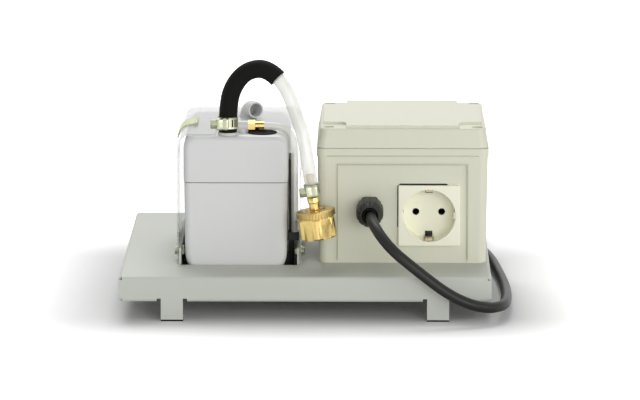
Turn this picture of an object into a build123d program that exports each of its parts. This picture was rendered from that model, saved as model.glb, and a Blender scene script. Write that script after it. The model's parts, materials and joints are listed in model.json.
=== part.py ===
"""Condensate pump with overflow outlet box on a folded sheet-steel base tray.

Units are millimetres. +Z is up, +X is to the right seen from the front, +Y is to the back.
The origin is at the middle of the tray's footprint, on the floor.
"""
import math
import os

from build123d import *

os.makedirs("parts", exist_ok=True)

# ---------------------------------------------------------------- driving dimensions
# Longer than any bore or fitting, for cuts that pass right through one
CUT_THROUGH = 70.0

# Base tray
TRAY_WIDTH = 270.0
TRAY_DEPTH = 256.0
TRAY_TOP = 32.7
TRAY_SHEET = 1.5
TRAY_FLANGE = 18.5
TRAY_BEND = 2.5
TRAY_RETURN = 8.0
TRAY_CORNER_GAP = 1.0
FOOT_WIDTH = 16.0
FOOT_FROM_MIDDLE = 96.4
FOOT_TOE = 12.0
FOOT_NOTCH = 3.0
PAD_THICKNESS = 1.2
LIP_HEIGHT = 12.0

# Pump well in the tray: cut-out, pan and mat
WELL_LEFT = -91.5
WELL_RIGHT = -6.4
WELL_FRONT = -82.5
WELL_REAR = 37.0
PAN_SHEET = 1.2
PAN_DEPTH = 15.1
PAN_RIM = 8.0
MAT_THICKNESS = 2.4
MAT_CLEARANCE = 0.5

# Pump shells
PUMP_WIDTH = 76.5
PUMP_LENGTH = 116.0
PUMP_MIDDLE = -51.25
PUMP_FRONT = -81.5
PUMP_TOP = 128.1
PUMP_SEAM = 93.2
PUMP_WALL = 2.5
TANK_INSET = 0.4
TANK_TAPER = 0.6
TANK_CORNER = 22.0
COVER_CORNER = 9.0
SHELL_EDGE = 4.5
SEAL_THICKNESS = 0.8
SEAL_INSET = 0.9
LEDGE_WIDTH = 3.0
LEDGE_THICKNESS = 2.5

# Hood
HOOD_SHEET = 1.2
HOOD_LEFT = -94.4
HOOD_RIGHT = -3.5
HOOD_FRONT = -82.0
HOOD_REAR = 45.0
HOOD_TOP = 130.0
HOOD_BEND = 10.0
HOOD_FLOOR_GAP = 0.5
HOOD_NOTCH_LEFT = -66.0
HOOD_NOTCH_REAR = -50.0
HOOD_NOTCH_BOTTOM = 98.6
HOOD_NOTCH_CORNER = 9.0
HOOD_INLET_HOLE = 9.0
HOOD_SCREW_FRONT = -61.0
HOOD_SCREW_REAR = 4.0
HOOD_SCREW_HEIGHT = 39.2
HOOD_SCREW_THREAD = 2.0
HOOD_SCREW_CLEARANCE = 0.1
HOOD_SCREW_LENGTH = 5.0
HOOD_SCREW_HEAD = 3.8
HOOD_SCREW_HEAD_HEIGHT = 2.6
HOOD_NUT_ACROSS = 7.0
HOOD_NUT_HEIGHT = 1.6
CLIP_SHEET = 1.0
CLIP_LENGTH = 11.0
CLIP_WIDTH = 8.0
CLIP_AT = -17.0

# Motor and pump group, on one upright axis
MOTOR_X = -51.0
MOTOR_Y = -22.0
PLATE_THICKNESS = 2.5
PLATE_GAP = 0.3
STACK_WIDTH = 48.0
STACK_FRONT = 20.0
STACK_REAR = 32.0
STACK_HEIGHT = 14.0
STACK_LIFT = 9.5
STACK_LEG = 9.0
STACK_WINDOW = 8.0
STACK_WINDOW_WIDTH = 30.0
ROTOR_RADIUS = 12.4
ROTOR_AIR_GAP = 0.4
BRACKET_THICKNESS = 3.0
BRACKET_WIDTH = 16.0
BRACKET_LENGTH = 48.0
BRACKET_POST = 6.0
COIL_LENGTH = 27.0
COIL_BUILD = 6.5
COIL_GAP = 0.3
SHAFT_RADIUS = 1.6
SHAFT_CLEARANCE = 0.05
FAN_RADIUS = 15.5
FAN_HEIGHT = 3.6
FAN_BLADES = 8
COLUMN_RADIUS = 7.0
COLUMN_BORE = 4.2
COLUMN_FLANGE = 12.0
VOLUTE_RADIUS = 23.0
VOLUTE_WALL = 2.5
VOLUTE_FLOOR = 26.0
VOLUTE_HEIGHT = 12.0
VOLUTE_INLET = 7.0
VOLUTE_COVER = 2.0
IMPELLER_RADIUS = 17.0
IMPELLER_VANES = 6
IMPELLER_GAP = 1.5
IMPELLER_DISC = 1.5
IMPELLER_HUB = 3.6
IMPELLER_VANE = 1.4

# Float level sensor
FLOAT_Y = 15.0
FLOAT_WIDTH = 40.0
FLOAT_DEPTH = 26.0
FLOAT_HEIGHT = 22.0
FLOAT_REST = 27.5
STEM_RADIUS = 3.0
STEM_CLEARANCE = 0.08
STEM_HEAD_HEIGHT = 3.0
STEM_HEAD_RADIUS = 6.0
STEM_BELOW_STOP = 1.2
STOP_RADIUS = 5.0
STOP_THICKNESS = 1.5

# Discharge: riser, non-return ball and outlet nipple
OUTLET_X = -57.0
OUTLET_Y = -73.5
RISER_RADIUS = 5.0
RISER_BORE = 2.6
RISER_LEVEL = 31.0
RISER_BEND = 12.0
RISER_TOP = 108.0
BALL_RADIUS = 3.3
BALL_CHAMBER = 3.9
BALL_CHAMBER_HEIGHT = 10.0
SEAT_CLEARANCE = 0.1
NIPPLE_RADIUS = 5.3
NIPPLE_CLEARANCE = 0.1
NIPPLE_COLLAR = 7.3
NIPPLE_COLLAR_HEIGHT = 2.0
NIPPLE_BARB_LENGTH = 11.0

# Discharge hose, its sleeve and clamps
HOSE_RADIUS = 4.85
HOSE_BORE = 3.3
SLEEVE_RADIUS = 6.7
SLEEVE_GAP = 0.2
BARB_GAP = 0.1
CLAMP_WIDTH = 8.6
CLAMP_BAND = 0.7
CLAMP_HOUSING_LENGTH = 8.5
CLAMP_HOUSING_DEPTH = 5.6
CLAMP_SCREW_RADIUS = 2.1
CLAMP_SCREW_CLEARANCE = 0.05
CLAMP_HEAD_ACROSS = 6.5
CLAMP_HEAD_LENGTH = 4.6
CLAMP_HEAD_GAP = 0.3
CLAMP_SLOT_WIDTH = 0.9
CLAMP_SLOT_DEPTH = 1.4
CLAMP_GAP = 0.1
OUTLET_HOUSING_SHIFT = 3.4
TAIL_HOUSING_SHIFT = 0.0

# Brass hose tail and union nut, on an axis that leans to the left
NUT_CENTRE = (8.4, -95.0, 66.5)
NUT_LEAN = 8.5
NUT_ACROSS = 26.0
NUT_RADIUS = 14.6
NUT_FLANGE = 14.5
NUT_FLANGE_HEIGHT = 5.5
NUT_FLANGE_TEETH = 30
NUT_TOOTH_RADIUS = 0.9
NUT_TOOTH_OUT = 0.35
NUT_BELOW = 11.0
NUT_ABOVE = 10.0
NUT_THREAD_BORE = 9.3
NUT_SEAT_TOP = 4.8
NUT_SEAT_PLAY = 0.2
NUT_SEAT_CLEARANCE = 0.1
TAIL_STEM = 3.9
TAIL_BORE = 2.2
TAIL_HEAD = 8.8
TAIL_HEAD_HEIGHT = 1.8
TAIL_END = 20.0
TAIL_BARB_LENGTH = 11.0
TAIL_BARB_ROOT = 3.0
TAIL_ROOT = 0.5
TAIL_RIDGES = 3
TAIL_RIDGE = 0.5
TAIL_RIDGE_PITCH = 2.6
TAIL_RIDGE_WIDTH = 1.2
TAIL_FIT = 0.05
WASHER_BORE = 5.0
WASHER_THICKNESS = 2.0

# Level tube with its union, brass elbow and tank port
UNION_Y = -62.0
UNION_Z = 132.6
UNION_LEFT = -51.0
UNION_RIGHT = -42.4
UNION_RADIUS = 3.8
UNION_STUB_X = -46.5
UNION_STUB_RADIUS = 3.2
FITTING_RIGHT = -30.7
FITTING_ACROSS = 7.6
FITTING_HEX_LENGTH = 5.0
FITTING_BORE = 1.35
TUBE_RADIUS = 2.75
TUBE_BORE = 1.75
TUBE_PLAY = 0.1
PORT_Z = 50.0
PORT_X = -8.3
PORT_Y = -58.0
PORT_BLOCK = 3.0
PORT_BARB_TOP = 61.0
PORT_SPIGOT = 2.0
PORT_DUCT = 0.9

# Inlet elbow
INLET_X = -44.0
INLET_Y = -2.0
INLET_RADIUS = 6.2
INLET_BORE = 4.6
INLET_AXIS_Z = 136.5
INLET_REACH = 13.0
INLET_TURN = 27.0

# Junction box
BOX_MIDDLE_X = 70.85
BOX_FRONT = -74.3
BOX_DEPTH = 125.0
BOX_WIDTH = 126.1
BOX_RIM_BOTTOM = 111.8
BOX_JOINT = 117.7
BOX_WALL = 3.0
BOX_FLOOR = 3.0
BOX_DRAFT_SIDE = 1.8
BOX_DRAFT_FRONT = 0.8
BOX_RIM_STEP = 0.6
BOX_CORNER = 6.0
PANEL_LEFT = 23.7
PANEL_RIGHT = 118.0
PANEL_TOP = 105.5
PANEL_FACE = -72.6
LID_HEIGHT = 14.8
LID_RAISE = 2.0
LID_INSET = 0.4
LID_PLATEAU_CORNER = 1.5
LID_LOBE_CORNER = 5.0
LID_PLATEAU_ROUND = 0.8
LID_GAP = 0.6
LID_DRAFT = 2.4
LID_WALL = 3.0
LID_LOBE = 17.0
LID_EDGE_ROUND = 1.6
LID_SKIRT_GAP = 0.4
POST_RADIUS = 5.0
POST_INSET = 8.6
POST_SCREW = 1.9
POST_HOLE = 2.2
LID_SCREW_HEAD = 3.6
LID_SCREW_HEAD_HEIGHT = 2.4
LID_SCREW_LENGTH = 26.0
LID_SCREW_SLOT = 0.9
LID_SCREW_SLOT_DEPTH = 1.2
LID_SCREW_SUNK = 0.6
LID_WELL_PLAY = 0.5
GASKET_INSET = 1.5
GASKET_HOLE_PLAY = 0.4
POST_FIT = 0.05
ROOT = 0.5
BOX_SCREW_X = 42.0
BOX_SCREW_Y = 40.0
BOX_SCREW_RADIUS = 2.0
BOX_SCREW_CLEARANCE = 0.2
BOX_SCREW_HEAD = 3.8
BOX_SCREW_HEAD_HEIGHT = 2.4
BOX_NUT_ACROSS = 7.0
BOX_NUT_HEIGHT = 3.2
RAIL_WIDTH = 35.0
RAIL_HEIGHT = 7.5
RAIL_SHEET = 1.0
RAIL_FLANGE = 4.0
RAIL_LENGTH = 72.0
RAIL_FROM_REAR = 35.7
BLOCK_WIDTH = 6.2
BLOCK_COUNT = 7
BLOCK_DEPTH = 42.0
BLOCK_HEIGHT = 32.0
BLOCK_GAP = 0.3
BLOCK_ENTRY = 1.6
BLOCK_ENTRY_HEIGHT = 12.0
BLOCK_WELL = 1.8
BLOCK_WELL_FROM_MIDDLE = 12.0
BLOCK_WELL_DEPTH = 8.0
BLOCK_HOLE_LENGTH = 10.0

# Socket insert, a 45 x 45 mm module with two round pin holes
SOCKET_X = 90.2
SOCKET_Z = 68.2
SOCKET_SIZE = 45.0
SOCKET_CORNER = 1.2
SOCKET_EDGE_ROUND = 0.6
SOCKET_BODY_WALL = 2.0
SOCKET_PROUD = 3.2
SOCKET_BODY = 41.0
SOCKET_BODY_LENGTH = 27.0
SOCKET_CUT_GAP = 0.4
SOCKET_RECESS = 19.5
SOCKET_RECESS_DEPTH = 17.5
SOCKET_FLOOR = 3.0
PIN_SPACING = 19.0
PIN_HOLE = 2.6
GUIDE_WIDTH = 4.6
GUIDE_REACH = 1.4
GUIDE_FROM_FACE = 1.2
CONTACT_WALL = 0.8
CONTACT_SHORT = 0.5
CLIP_STRIP = 7.0
CLIP_STRIP_THICK = 0.8
CLIP_REACH = 2.6
CLIP_SLOT_SIDE = 0.4
CLIP_SLOT_BACK = 0.2
CLIP_SLOT_DEPTH = 3.0
CLIP_SLOT_FROM_FACE = 2.0
CLIP_SLOT_PAST_FLOOR = 1.2
CLIP_FROM_FACE = 2.4
CLIP_PAST_FLOOR = 0.9
CLIP_BOW_NARROWER = 1.0
CLIP_BOW_FROM = 5.5
CLIP_BOW_TO = 11.5

# Cable gland and mains cable
GLAND_X = 46.8
GLAND_Z = 73.2
GLAND_THREAD = 8.0
GLAND_HOLE_GAP = 0.1
GLAND_BORE = 4.4
GLAND_HEX = 19.5
GLAND_HEX_LENGTH = 5.0
GLAND_NECK_RADIUS = 7.4
GLAND_NECK_LENGTH = 9.0
GLAND_INSIDE = 12.0
GLAND_NUT_RADIUS = 10.0
GLAND_NUT_END = 30.0
GLAND_NUT_GAP = 0.6
GLAND_NUT_CLEARANCE = 0.08
GLAND_NUT_FLUTES = 12
GLAND_FLUTE_RADIUS = 1.3
GLAND_FLUTE_OUT = 0.5
GLAND_FLUTE_END = 7.0
GLAND_NUT_ROUND = 4.5
GLAND_NUT_ROOM = 0.6
LOCKNUT_ACROSS = 20.0
LOCKNUT_THICKNESS = 4.0

CABLE_RADIUS = 4.0
CABLE_ROUTE = [
    (46.8, -84.0, 73.2),
    (46.8, -116.5, 73.2),
    (60.0, -138.0, 57.0),
    (80.0, -142.0, 41.0),
    (105.5, -143.0, 21.5),
    (128.0, -141.5, 12.5),
    (144.0, -124.5, 11.0),
    (147.0, -92.0, 10.0),
    (148.0, -48.0, 6.2),
    (147.2, -3.0, 4.0),
    (144.0, 42.0, 4.0),
    (140.5, 86.0, 4.0),
    (133.5, 128.0, 4.0),
    (132.0, 166.0, 4.0),
]
COIL_X = 84.0
COIL_Y = 184.0
COIL_MIDDLE_RADIUS = 44.0
COIL_TURNS_WIDE = 2
COIL_TURNS_HIGH = 2
COIL_ROOM = 0.3
CABLE_LEAVES_AT = 53.13
TAIL_LENGTH = 35.0

# Mains plug
PLUG_RADIUS = 18.5
PLUG_BODY_LENGTH = 38.0
PLUG_SHOULDER = 10.0
PLUG_PIN_ROUND = 1.2
PLUG_GRIP_RADIUS = 9.0
PLUG_BOOT_LENGTH = 28.0
PLUG_BOOT_TIP = 4.6
PLUG_PIN_RADIUS = 2.4
PLUG_PIN_LENGTH = 19.0

# Routes of the discharge hose and the level tube
HOSE_ROUTE_TOP = [
    (-52.5, -75.5, 165.5),
    (-42.5, -78.0, 176.5),
    (-28.0, -81.0, 178.5),
    (-15.5, -84.5, 166.5),
    (-8.5, -88.0, 150.0),
    (-1.8, -92.0, 131.0),
]
HOSE_RISE = 20.0
HOSE_LAST_RUN = 21.0
SLEEVE_BENDS = 4
SLEEVE_END_SHARE = 0.62
TUBE_ROUTE_TOP = [
    (-22.0, -62.0, 132.6),
    (-13.6, -62.0, 130.2),
    (-9.2, -62.0, 122.5),
    (-8.3, -61.5, 108.0),
    (-8.5, -60.0, 88.0),
]
TUBE_LAST_POINT_ABOVE = 18.0

# ---------------------------------------------------------------- derived places
flange_bottom = TRAY_TOP - TRAY_FLANGE
tray_under = TRAY_TOP - TRAY_SHEET
pan_floor_top = tray_under - PAN_DEPTH + PAN_SHEET
pump_bottom = pan_floor_top + MAT_THICKNESS
pump_middle_y = PUMP_FRONT + PUMP_LENGTH / 2
cover_bottom = PUMP_SEAM + SEAL_THICKNESS
plate_bottom = PUMP_SEAM - PLATE_THICKNESS - 0.7
plate_top = plate_bottom + PLATE_THICKNESS
stack_bottom = plate_top + STACK_LIFT
stack_top = stack_bottom + STACK_HEIGHT
hose_start = PUMP_TOP + NIPPLE_COLLAR_HEIGHT + 1.5
tail_axis = Vector(-math.sin(math.radians(NUT_LEAN)), 0, math.cos(math.radians(NUT_LEAN)))


def along_tail(distance):
    """Point on the brass fitting's axis, measured up from the middle of the union nut."""
    return Vector(*NUT_CENTRE) + tail_axis * distance


def tail_plane(distance):
    """Plane across the brass fitting's axis."""
    return Plane(origin=along_tail(distance), x_dir=(0, -1, 0), z_dir=tail_axis)


def block(x, y, z, mode=Mode.ADD):
    """Add or cut a box between two corners, given as low and high values along each axis."""
    middle = ((x[0] + x[1]) / 2, (y[0] + y[1]) / 2, (z[0] + z[1]) / 2)
    with Locations(middle):
        Box(x[1] - x[0], y[1] - y[0], z[1] - z[0], mode=mode)


def rod(plane, radius, length, mode=Mode.ADD):
    """Add or cut a round bar that starts on a plane and runs along its normal."""
    with BuildSketch(plane) as round_face:
        Circle(radius)
    extrude(round_face.sketch, amount=length, mode=mode)


def hexagon(plane, across, length, mode=Mode.ADD):
    """Add or cut a hexagonal bar, given its width across flats."""
    with BuildSketch(plane) as six_sided:
        RegularPolygon(across / math.sqrt(3), 6)
    extrude(six_sided.sketch, amount=length, mode=mode)


def upright(x, y, z):
    """Plane facing up at a point."""
    return Plane(origin=(x, y, z))


def facing(x, y, z, direction):
    """Plane at a point, facing a given direction."""
    return Plane(origin=(x, y, z), z_dir=direction)


def bend_radii(route):
    """The largest gentle radius that each corner of a route allows."""
    points = [Vector(*p) for p in route]
    radii = []
    for before, corner, after in zip(points, points[1:], points[2:]):
        half_turn = math.radians((corner - before).get_angle(after - corner)) / 2
        shorter = min((corner - before).length, (after - corner).length)
        radii.append(0.45 * shorter / math.tan(half_turn))
    return radii


def tube_along(route, radii, outer, bore=0.0):
    """Add a round tube that follows straight runs joined by tangent arcs."""
    with BuildLine() as path:
        FilletPolyline(*route, radius=radii)
    wire = path.wire()
    with BuildSketch(Plane(origin=wire @ 0, z_dir=wire % 0)) as section:
        Circle(outer)
        if bore:
            Circle(bore, mode=Mode.SUBTRACT)
    sweep(section.sketch, path=wire)
    return wire.length


def finish(builder, name):
    """Label a piece and write its file."""
    builder.part.label = name
    export_step(builder.part, f"parts/{name}.step")


# ---------------------------------------------------------------- base tray
return_span = TRAY_SHEET + TRAY_RETURN
side_run = TRAY_DEPTH / 2 - TRAY_SHEET - TRAY_CORNER_GAP


def flange_section(plane, width):
    """Channel section of the tray: top sheet, two flanges and their inward returns."""
    middle = (TRAY_TOP + flange_bottom) / 2
    with BuildSketch(plane) as section:
        with Locations((0, middle)):
            RectangleRounded(width, TRAY_FLANGE, TRAY_BEND)
            RectangleRounded(
                width - 2 * TRAY_SHEET,
                TRAY_FLANGE - 2 * TRAY_SHEET,
                TRAY_BEND - TRAY_SHEET,
                mode=Mode.SUBTRACT,
            )
        with Locations((0, flange_bottom)):
            Rectangle(width - 2 * return_span, 3 * TRAY_SHEET, mode=Mode.SUBTRACT)
    return section.sketch


with BuildPart() as base_tray:
    front_to_back = flange_section(Plane.YZ, TRAY_DEPTH)
    extrude(front_to_back, amount=TRAY_WIDTH / 2 - TRAY_BEND, both=True)
    side_to_side = flange_section(Plane.XZ, TRAY_WIDTH)
    extrude(side_to_side, amount=side_run, both=True)
    for side in (-1, 1):
        # The front and rear flanges run on past the top sheet to the tray's ends.
        y_out = side * TRAY_DEPTH / 2
        y_in = side * (TRAY_DEPTH / 2 - TRAY_SHEET)
        y_pair = (min(y_out, y_in), max(y_out, y_in))
        block(
            (-TRAY_WIDTH / 2, TRAY_WIDTH / 2),
            y_pair,
            (flange_bottom + TRAY_BEND, TRAY_TOP - TRAY_BEND),
        )
        for foot in (-1, 1):
            x_foot = foot * FOOT_FROM_MIDDLE
            notch = FOOT_WIDTH / 2 + FOOT_NOTCH
            y_return = side * (TRAY_DEPTH / 2 - return_span)
            y_notch = (min(y_out, y_return), max(y_out, y_return))
            block(
                (x_foot - notch, x_foot + notch),
                y_notch,
                (flange_bottom - 1, flange_bottom + TRAY_BEND),
                mode=Mode.SUBTRACT,
            )
            block(
                (x_foot - FOOT_WIDTH / 2, x_foot + FOOT_WIDTH / 2),
                y_pair,
                (PAD_THICKNESS, TRAY_TOP - TRAY_BEND),
            )
            y_toe = side * (TRAY_DEPTH / 2 - FOOT_TOE)
            block(
                (x_foot - FOOT_WIDTH / 2, x_foot + FOOT_WIDTH / 2),
                (min(y_out, y_toe), max(y_out, y_toe)),
                (PAD_THICKNESS, PAD_THICKNESS + TRAY_SHEET),
            )
    # Cut-out for the pump.
    block(
        (WELL_LEFT, WELL_RIGHT),
        (WELL_FRONT, WELL_REAR),
        (tray_under - 1, TRAY_TOP + 1),
        mode=Mode.SUBTRACT,
    )
    for x_screw in (-BOX_SCREW_X, BOX_SCREW_X):
        for y_screw in (-BOX_SCREW_Y, BOX_SCREW_Y):
            start = upright(
                BOX_MIDDLE_X + x_screw,
                BOX_FRONT + BOX_DEPTH / 2 + y_screw,
                tray_under - 1,
            )
            rod(start, BOX_SCREW_RADIUS + BOX_SCREW_CLEARANCE, TRAY_SHEET + 2, mode=Mode.SUBTRACT)
finish(base_tray, "base_tray")

# Upturned lips along the cut-out's long sides, which the hood's screws go through.
with BuildPart() as well_lips:
    lip_run = (WELL_FRONT + 2 * TRAY_SHEET, WELL_REAR - 2 * TRAY_SHEET)
    for inner, outward in ((WELL_LEFT, -TRAY_SHEET), (WELL_RIGHT, TRAY_SHEET)):
        lip = (min(inner, inner + outward), max(inner, inner + outward))
        block(lip, lip_run, (TRAY_TOP, TRAY_TOP + LIP_HEIGHT))
    for y_screw in (HOOD_SCREW_FRONT, HOOD_SCREW_REAR):
        for inner, outward in ((WELL_LEFT, (-1, 0, 0)), (WELL_RIGHT, (1, 0, 0))):
            start = facing(inner - outward[0], y_screw, HOOD_SCREW_HEIGHT, outward)
            rod(start, HOOD_SCREW_THREAD + HOOD_SCREW_CLEARANCE, TRAY_SHEET + 2, mode=Mode.SUBTRACT)
finish(well_lips, "well_lips")

with BuildPart() as foot_pads:
    for side in (-1, 1):
        for foot in (-1, 1):
            y_out = side * TRAY_DEPTH / 2
            y_toe = side * (TRAY_DEPTH / 2 - FOOT_TOE)
            block(
                (foot * FOOT_FROM_MIDDLE - FOOT_WIDTH / 2, foot * FOOT_FROM_MIDDLE + FOOT_WIDTH / 2),
                (min(y_out, y_toe), max(y_out, y_toe)),
                (0, PAD_THICKNESS),
            )
finish(foot_pads, "foot_pads")

with BuildPart() as pump_pan:
    block(
        (WELL_LEFT - PAN_SHEET, WELL_RIGHT + PAN_SHEET),
        (WELL_FRONT - PAN_SHEET, WELL_REAR + PAN_SHEET),
        (tray_under - PAN_DEPTH, tray_under),
    )
    block(
        (WELL_LEFT - PAN_RIM, WELL_RIGHT + PAN_RIM),
        (WELL_FRONT - PAN_RIM, WELL_REAR + PAN_RIM),
        (tray_under - PAN_SHEET, tray_under),
    )
    block(
        (WELL_LEFT, WELL_RIGHT),
        (WELL_FRONT, WELL_REAR),
        (pan_floor_top, tray_under + 1),
        mode=Mode.SUBTRACT,
    )
finish(pump_pan, "pump_pan")

with BuildPart() as rubber_mat:
    block(
        (WELL_LEFT + MAT_CLEARANCE, WELL_RIGHT - MAT_CLEARANCE),
        (WELL_FRONT + MAT_CLEARANCE, WELL_REAR - MAT_CLEARANCE),
        (pan_floor_top, pump_bottom),
    )
finish(rubber_mat, "rubber_mat")

# ---------------------------------------------------------------- hood
hood_middle = (HOOD_LEFT + HOOD_RIGHT) / 2
hood_width = HOOD_RIGHT - HOOD_LEFT
hood_bottom = TRAY_TOP + HOOD_FLOOR_GAP
hood_length = HOOD_REAR - HOOD_FRONT

with BuildPart() as retaining_hood:
    with BuildSketch(Plane.XZ.offset(-HOOD_FRONT)):
        for inset, mode in ((0, Mode.ADD), (HOOD_SHEET, Mode.SUBTRACT)):
            # The lower half of each outline runs on below the hood and is cut off afterwards.
            height = 2 * (HOOD_TOP - hood_bottom) - 2 * inset
            with Locations((hood_middle, hood_bottom)):
                RectangleRounded(hood_width - 2 * inset, height, HOOD_BEND - inset, mode=mode)
        with Locations((hood_middle, hood_bottom)):
            Rectangle(
                hood_width + 2,
                HOOD_TOP,
                align=(Align.CENTER, Align.MAX),
                mode=Mode.SUBTRACT,
            )
    extrude(amount=-hood_length)
    # Cut-away for the pipework: top sheet, right bend and the upper part of the right wall.
    with BuildSketch(Plane.XY.offset(HOOD_TOP - HOOD_BEND)):
        with Locations((HOOD_NOTCH_LEFT, HOOD_NOTCH_REAR)):
            RectangleRounded(
                2 * (HOOD_RIGHT - HOOD_NOTCH_LEFT) + 20,
                2 * (HOOD_NOTCH_REAR - HOOD_FRONT) + 20,
                HOOD_NOTCH_CORNER,
                align=(Align.MIN, Align.MAX),
            )
    extrude(amount=2 * HOOD_BEND, mode=Mode.SUBTRACT)
    with BuildSketch(Plane.YZ.offset(HOOD_RIGHT - HOOD_BEND)):
        with Locations((HOOD_NOTCH_REAR, HOOD_NOTCH_BOTTOM)):
            RectangleRounded(
                2 * (HOOD_NOTCH_REAR - HOOD_FRONT),
                2 * (HOOD_TOP - HOOD_NOTCH_BOTTOM),
                HOOD_NOTCH_CORNER,
                align=(Align.MAX, Align.MIN),
            )
    extrude(amount=2 * HOOD_BEND, mode=Mode.SUBTRACT)
    rod(
        upright(INLET_X, INLET_Y, HOOD_TOP - 2 * HOOD_SHEET),
        HOOD_INLET_HOLE,
        3 * HOOD_SHEET,
        mode=Mode.SUBTRACT,
    )
    for y_screw in (HOOD_SCREW_FRONT, HOOD_SCREW_REAR):
        for x_wall, outward in ((HOOD_LEFT, (-1, 0, 0)), (HOOD_RIGHT, (1, 0, 0))):
            start = facing(x_wall - 2 * outward[0], y_screw, HOOD_SCREW_HEIGHT, outward)
            rod(start, HOOD_SCREW_THREAD + 0.1, HOOD_SHEET + 2, mode=Mode.SUBTRACT)
finish(retaining_hood, "retaining_hood")

with BuildPart() as hood_screws:
    for y_screw in (HOOD_SCREW_FRONT, HOOD_SCREW_REAR):
        for x_wall, outward in ((HOOD_LEFT, (-1, 0, 0)), (HOOD_RIGHT, (1, 0, 0))):
            head = facing(x_wall, y_screw, HOOD_SCREW_HEIGHT, outward)
            rod(head, HOOD_SCREW_HEAD, HOOD_SCREW_HEAD_HEIGHT)
            rod(head, HOOD_SCREW_THREAD, -HOOD_SCREW_LENGTH)
    heads = hood_screws.edges().filter_by(GeomType.CIRCLE).filter_by(
        lambda e: abs(e.radius - HOOD_SCREW_HEAD) < 0.01
        and (e.center().X < HOOD_LEFT - 1 or e.center().X > HOOD_RIGHT + 1)
    )
    fillet(heads, radius=1.2)
finish(hood_screws, "hood_screws")

with BuildPart() as hood_nuts:
    for y_screw in (HOOD_SCREW_FRONT, HOOD_SCREW_REAR):
        for inner, inward in ((WELL_LEFT, (1, 0, 0)), (WELL_RIGHT, (-1, 0, 0))):
            seat = facing(inner, y_screw, HOOD_SCREW_HEIGHT, inward)
            hexagon(seat, HOOD_NUT_ACROSS, HOOD_NUT_HEIGHT)
            rod(seat, HOOD_SCREW_THREAD + SHAFT_CLEARANCE, HOOD_NUT_HEIGHT, mode=Mode.SUBTRACT)
finish(hood_nuts, "hood_nuts")

with BuildPart() as hood_clip:
    # A bent spring strip that hugs the hood's left bend.
    bend_x = HOOD_LEFT + HOOD_BEND
    bend_z = HOOD_TOP - HOOD_BEND
    with BuildSketch(Plane.XZ.offset(-(CLIP_AT - CLIP_WIDTH / 2))):
        with Locations((bend_x, bend_z)):
            Circle(HOOD_BEND + CLIP_SHEET)
            Circle(HOOD_BEND, mode=Mode.SUBTRACT)
            Rectangle(3 * HOOD_BEND, 2 * HOOD_BEND, align=(Align.CENTER, Align.MAX), mode=Mode.SUBTRACT)
            Rectangle(2 * HOOD_BEND, 3 * HOOD_BEND, align=(Align.MIN, Align.CENTER), mode=Mode.SUBTRACT)
        with Locations((bend_x, HOOD_TOP)):
            Rectangle(CLIP_LENGTH - HOOD_BEND + 2, CLIP_SHEET, align=(Align.MIN, Align.MIN))
    extrude(amount=-CLIP_WIDTH)
finish(hood_clip, "hood_clip")

# ---------------------------------------------------------------- pump shells
tank_height = PUMP_SEAM - pump_bottom
tank_top_width = PUMP_WIDTH - 2 * TANK_INSET
tank_bottom_width = tank_top_width - 2 * tank_height * math.tan(math.radians(TANK_TAPER))


def tank_profile(plane, inset, top):
    """Front view of the tank: tapered sides and large rounded bottom corners."""
    half_top = tank_top_width / 2 - inset
    half_bottom = tank_bottom_width / 2 - inset
    with BuildSketch(plane) as profile:
        with BuildLine():
            Polyline(
                (PUMP_MIDDLE - half_top, top),
                (PUMP_MIDDLE - half_bottom, pump_bottom + inset),
                (PUMP_MIDDLE + half_bottom, pump_bottom + inset),
                (PUMP_MIDDLE + half_top, top),
                close=True,
            )
        make_face()
        fillet(profile.vertices().group_by(Axis.Y)[0], TANK_CORNER - inset)
    return profile.sketch


def cover_profile(plane, inset, bottom):
    """Front view of the cover: upright sides and rounded top corners."""
    width = PUMP_WIDTH - 2 * inset
    with BuildSketch(plane) as profile:
        with Locations((PUMP_MIDDLE, bottom)):
            Rectangle(width, PUMP_TOP - inset - bottom, align=(Align.CENTER, Align.MIN))
        fillet(profile.vertices().group_by(Axis.Y)[-1], COVER_CORNER - inset)
    return profile.sketch


def front_and_rear_edges(part, seam):
    """Outline edges of a shell's front and rear faces, without the seam's own edges."""
    front = part.faces().sort_by(Axis.Y)[0].edges()
    rear = part.faces().sort_by(Axis.Y)[-1].edges()
    return (front + rear).filter_by(lambda e: abs(e.center().Z - seam) > 0.01)


tank_front = PUMP_FRONT + TANK_INSET
tank_length = PUMP_LENGTH - 2 * TANK_INSET

with BuildPart() as pump_tank:
    outside = tank_profile(Plane.XZ.offset(-tank_front), 0, PUMP_SEAM)
    extrude(outside, amount=-tank_length)
    fillet(front_and_rear_edges(pump_tank.part, PUMP_SEAM), SHELL_EDGE)
    inside = tank_profile(Plane.XZ.offset(-(tank_front + PUMP_WALL)), PUMP_WALL, PUMP_SEAM)
    extrude(inside, amount=-(tank_length - 2 * PUMP_WALL), mode=Mode.SUBTRACT)
    # Ledge that carries the motor plate.
    with BuildSketch(Plane.XY.offset(plate_bottom - LEDGE_THICKNESS)):
        with Locations((PUMP_MIDDLE, pump_middle_y)):
            Rectangle(tank_top_width - PUMP_WALL, tank_length - PUMP_WALL)
            RectangleRounded(
                tank_top_width - 2 * PUMP_WALL - 2 * LEDGE_WIDTH,
                tank_length - 2 * PUMP_WALL - 2 * LEDGE_WIDTH,
                3,
                mode=Mode.SUBTRACT,
            )
        with Locations((OUTLET_X, OUTLET_Y)):
            Circle(RISER_RADIUS + PLATE_GAP, mode=Mode.SUBTRACT)
    extrude(amount=LEDGE_THICKNESS)
    port_hole = facing(PUMP_MIDDLE, PORT_Y, PORT_Z, (1, 0, 0))
    rod(port_hole, PORT_SPIGOT + SHAFT_CLEARANCE, PUMP_WIDTH / 2, Mode.SUBTRACT)
finish(pump_tank, "pump_tank")

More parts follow.
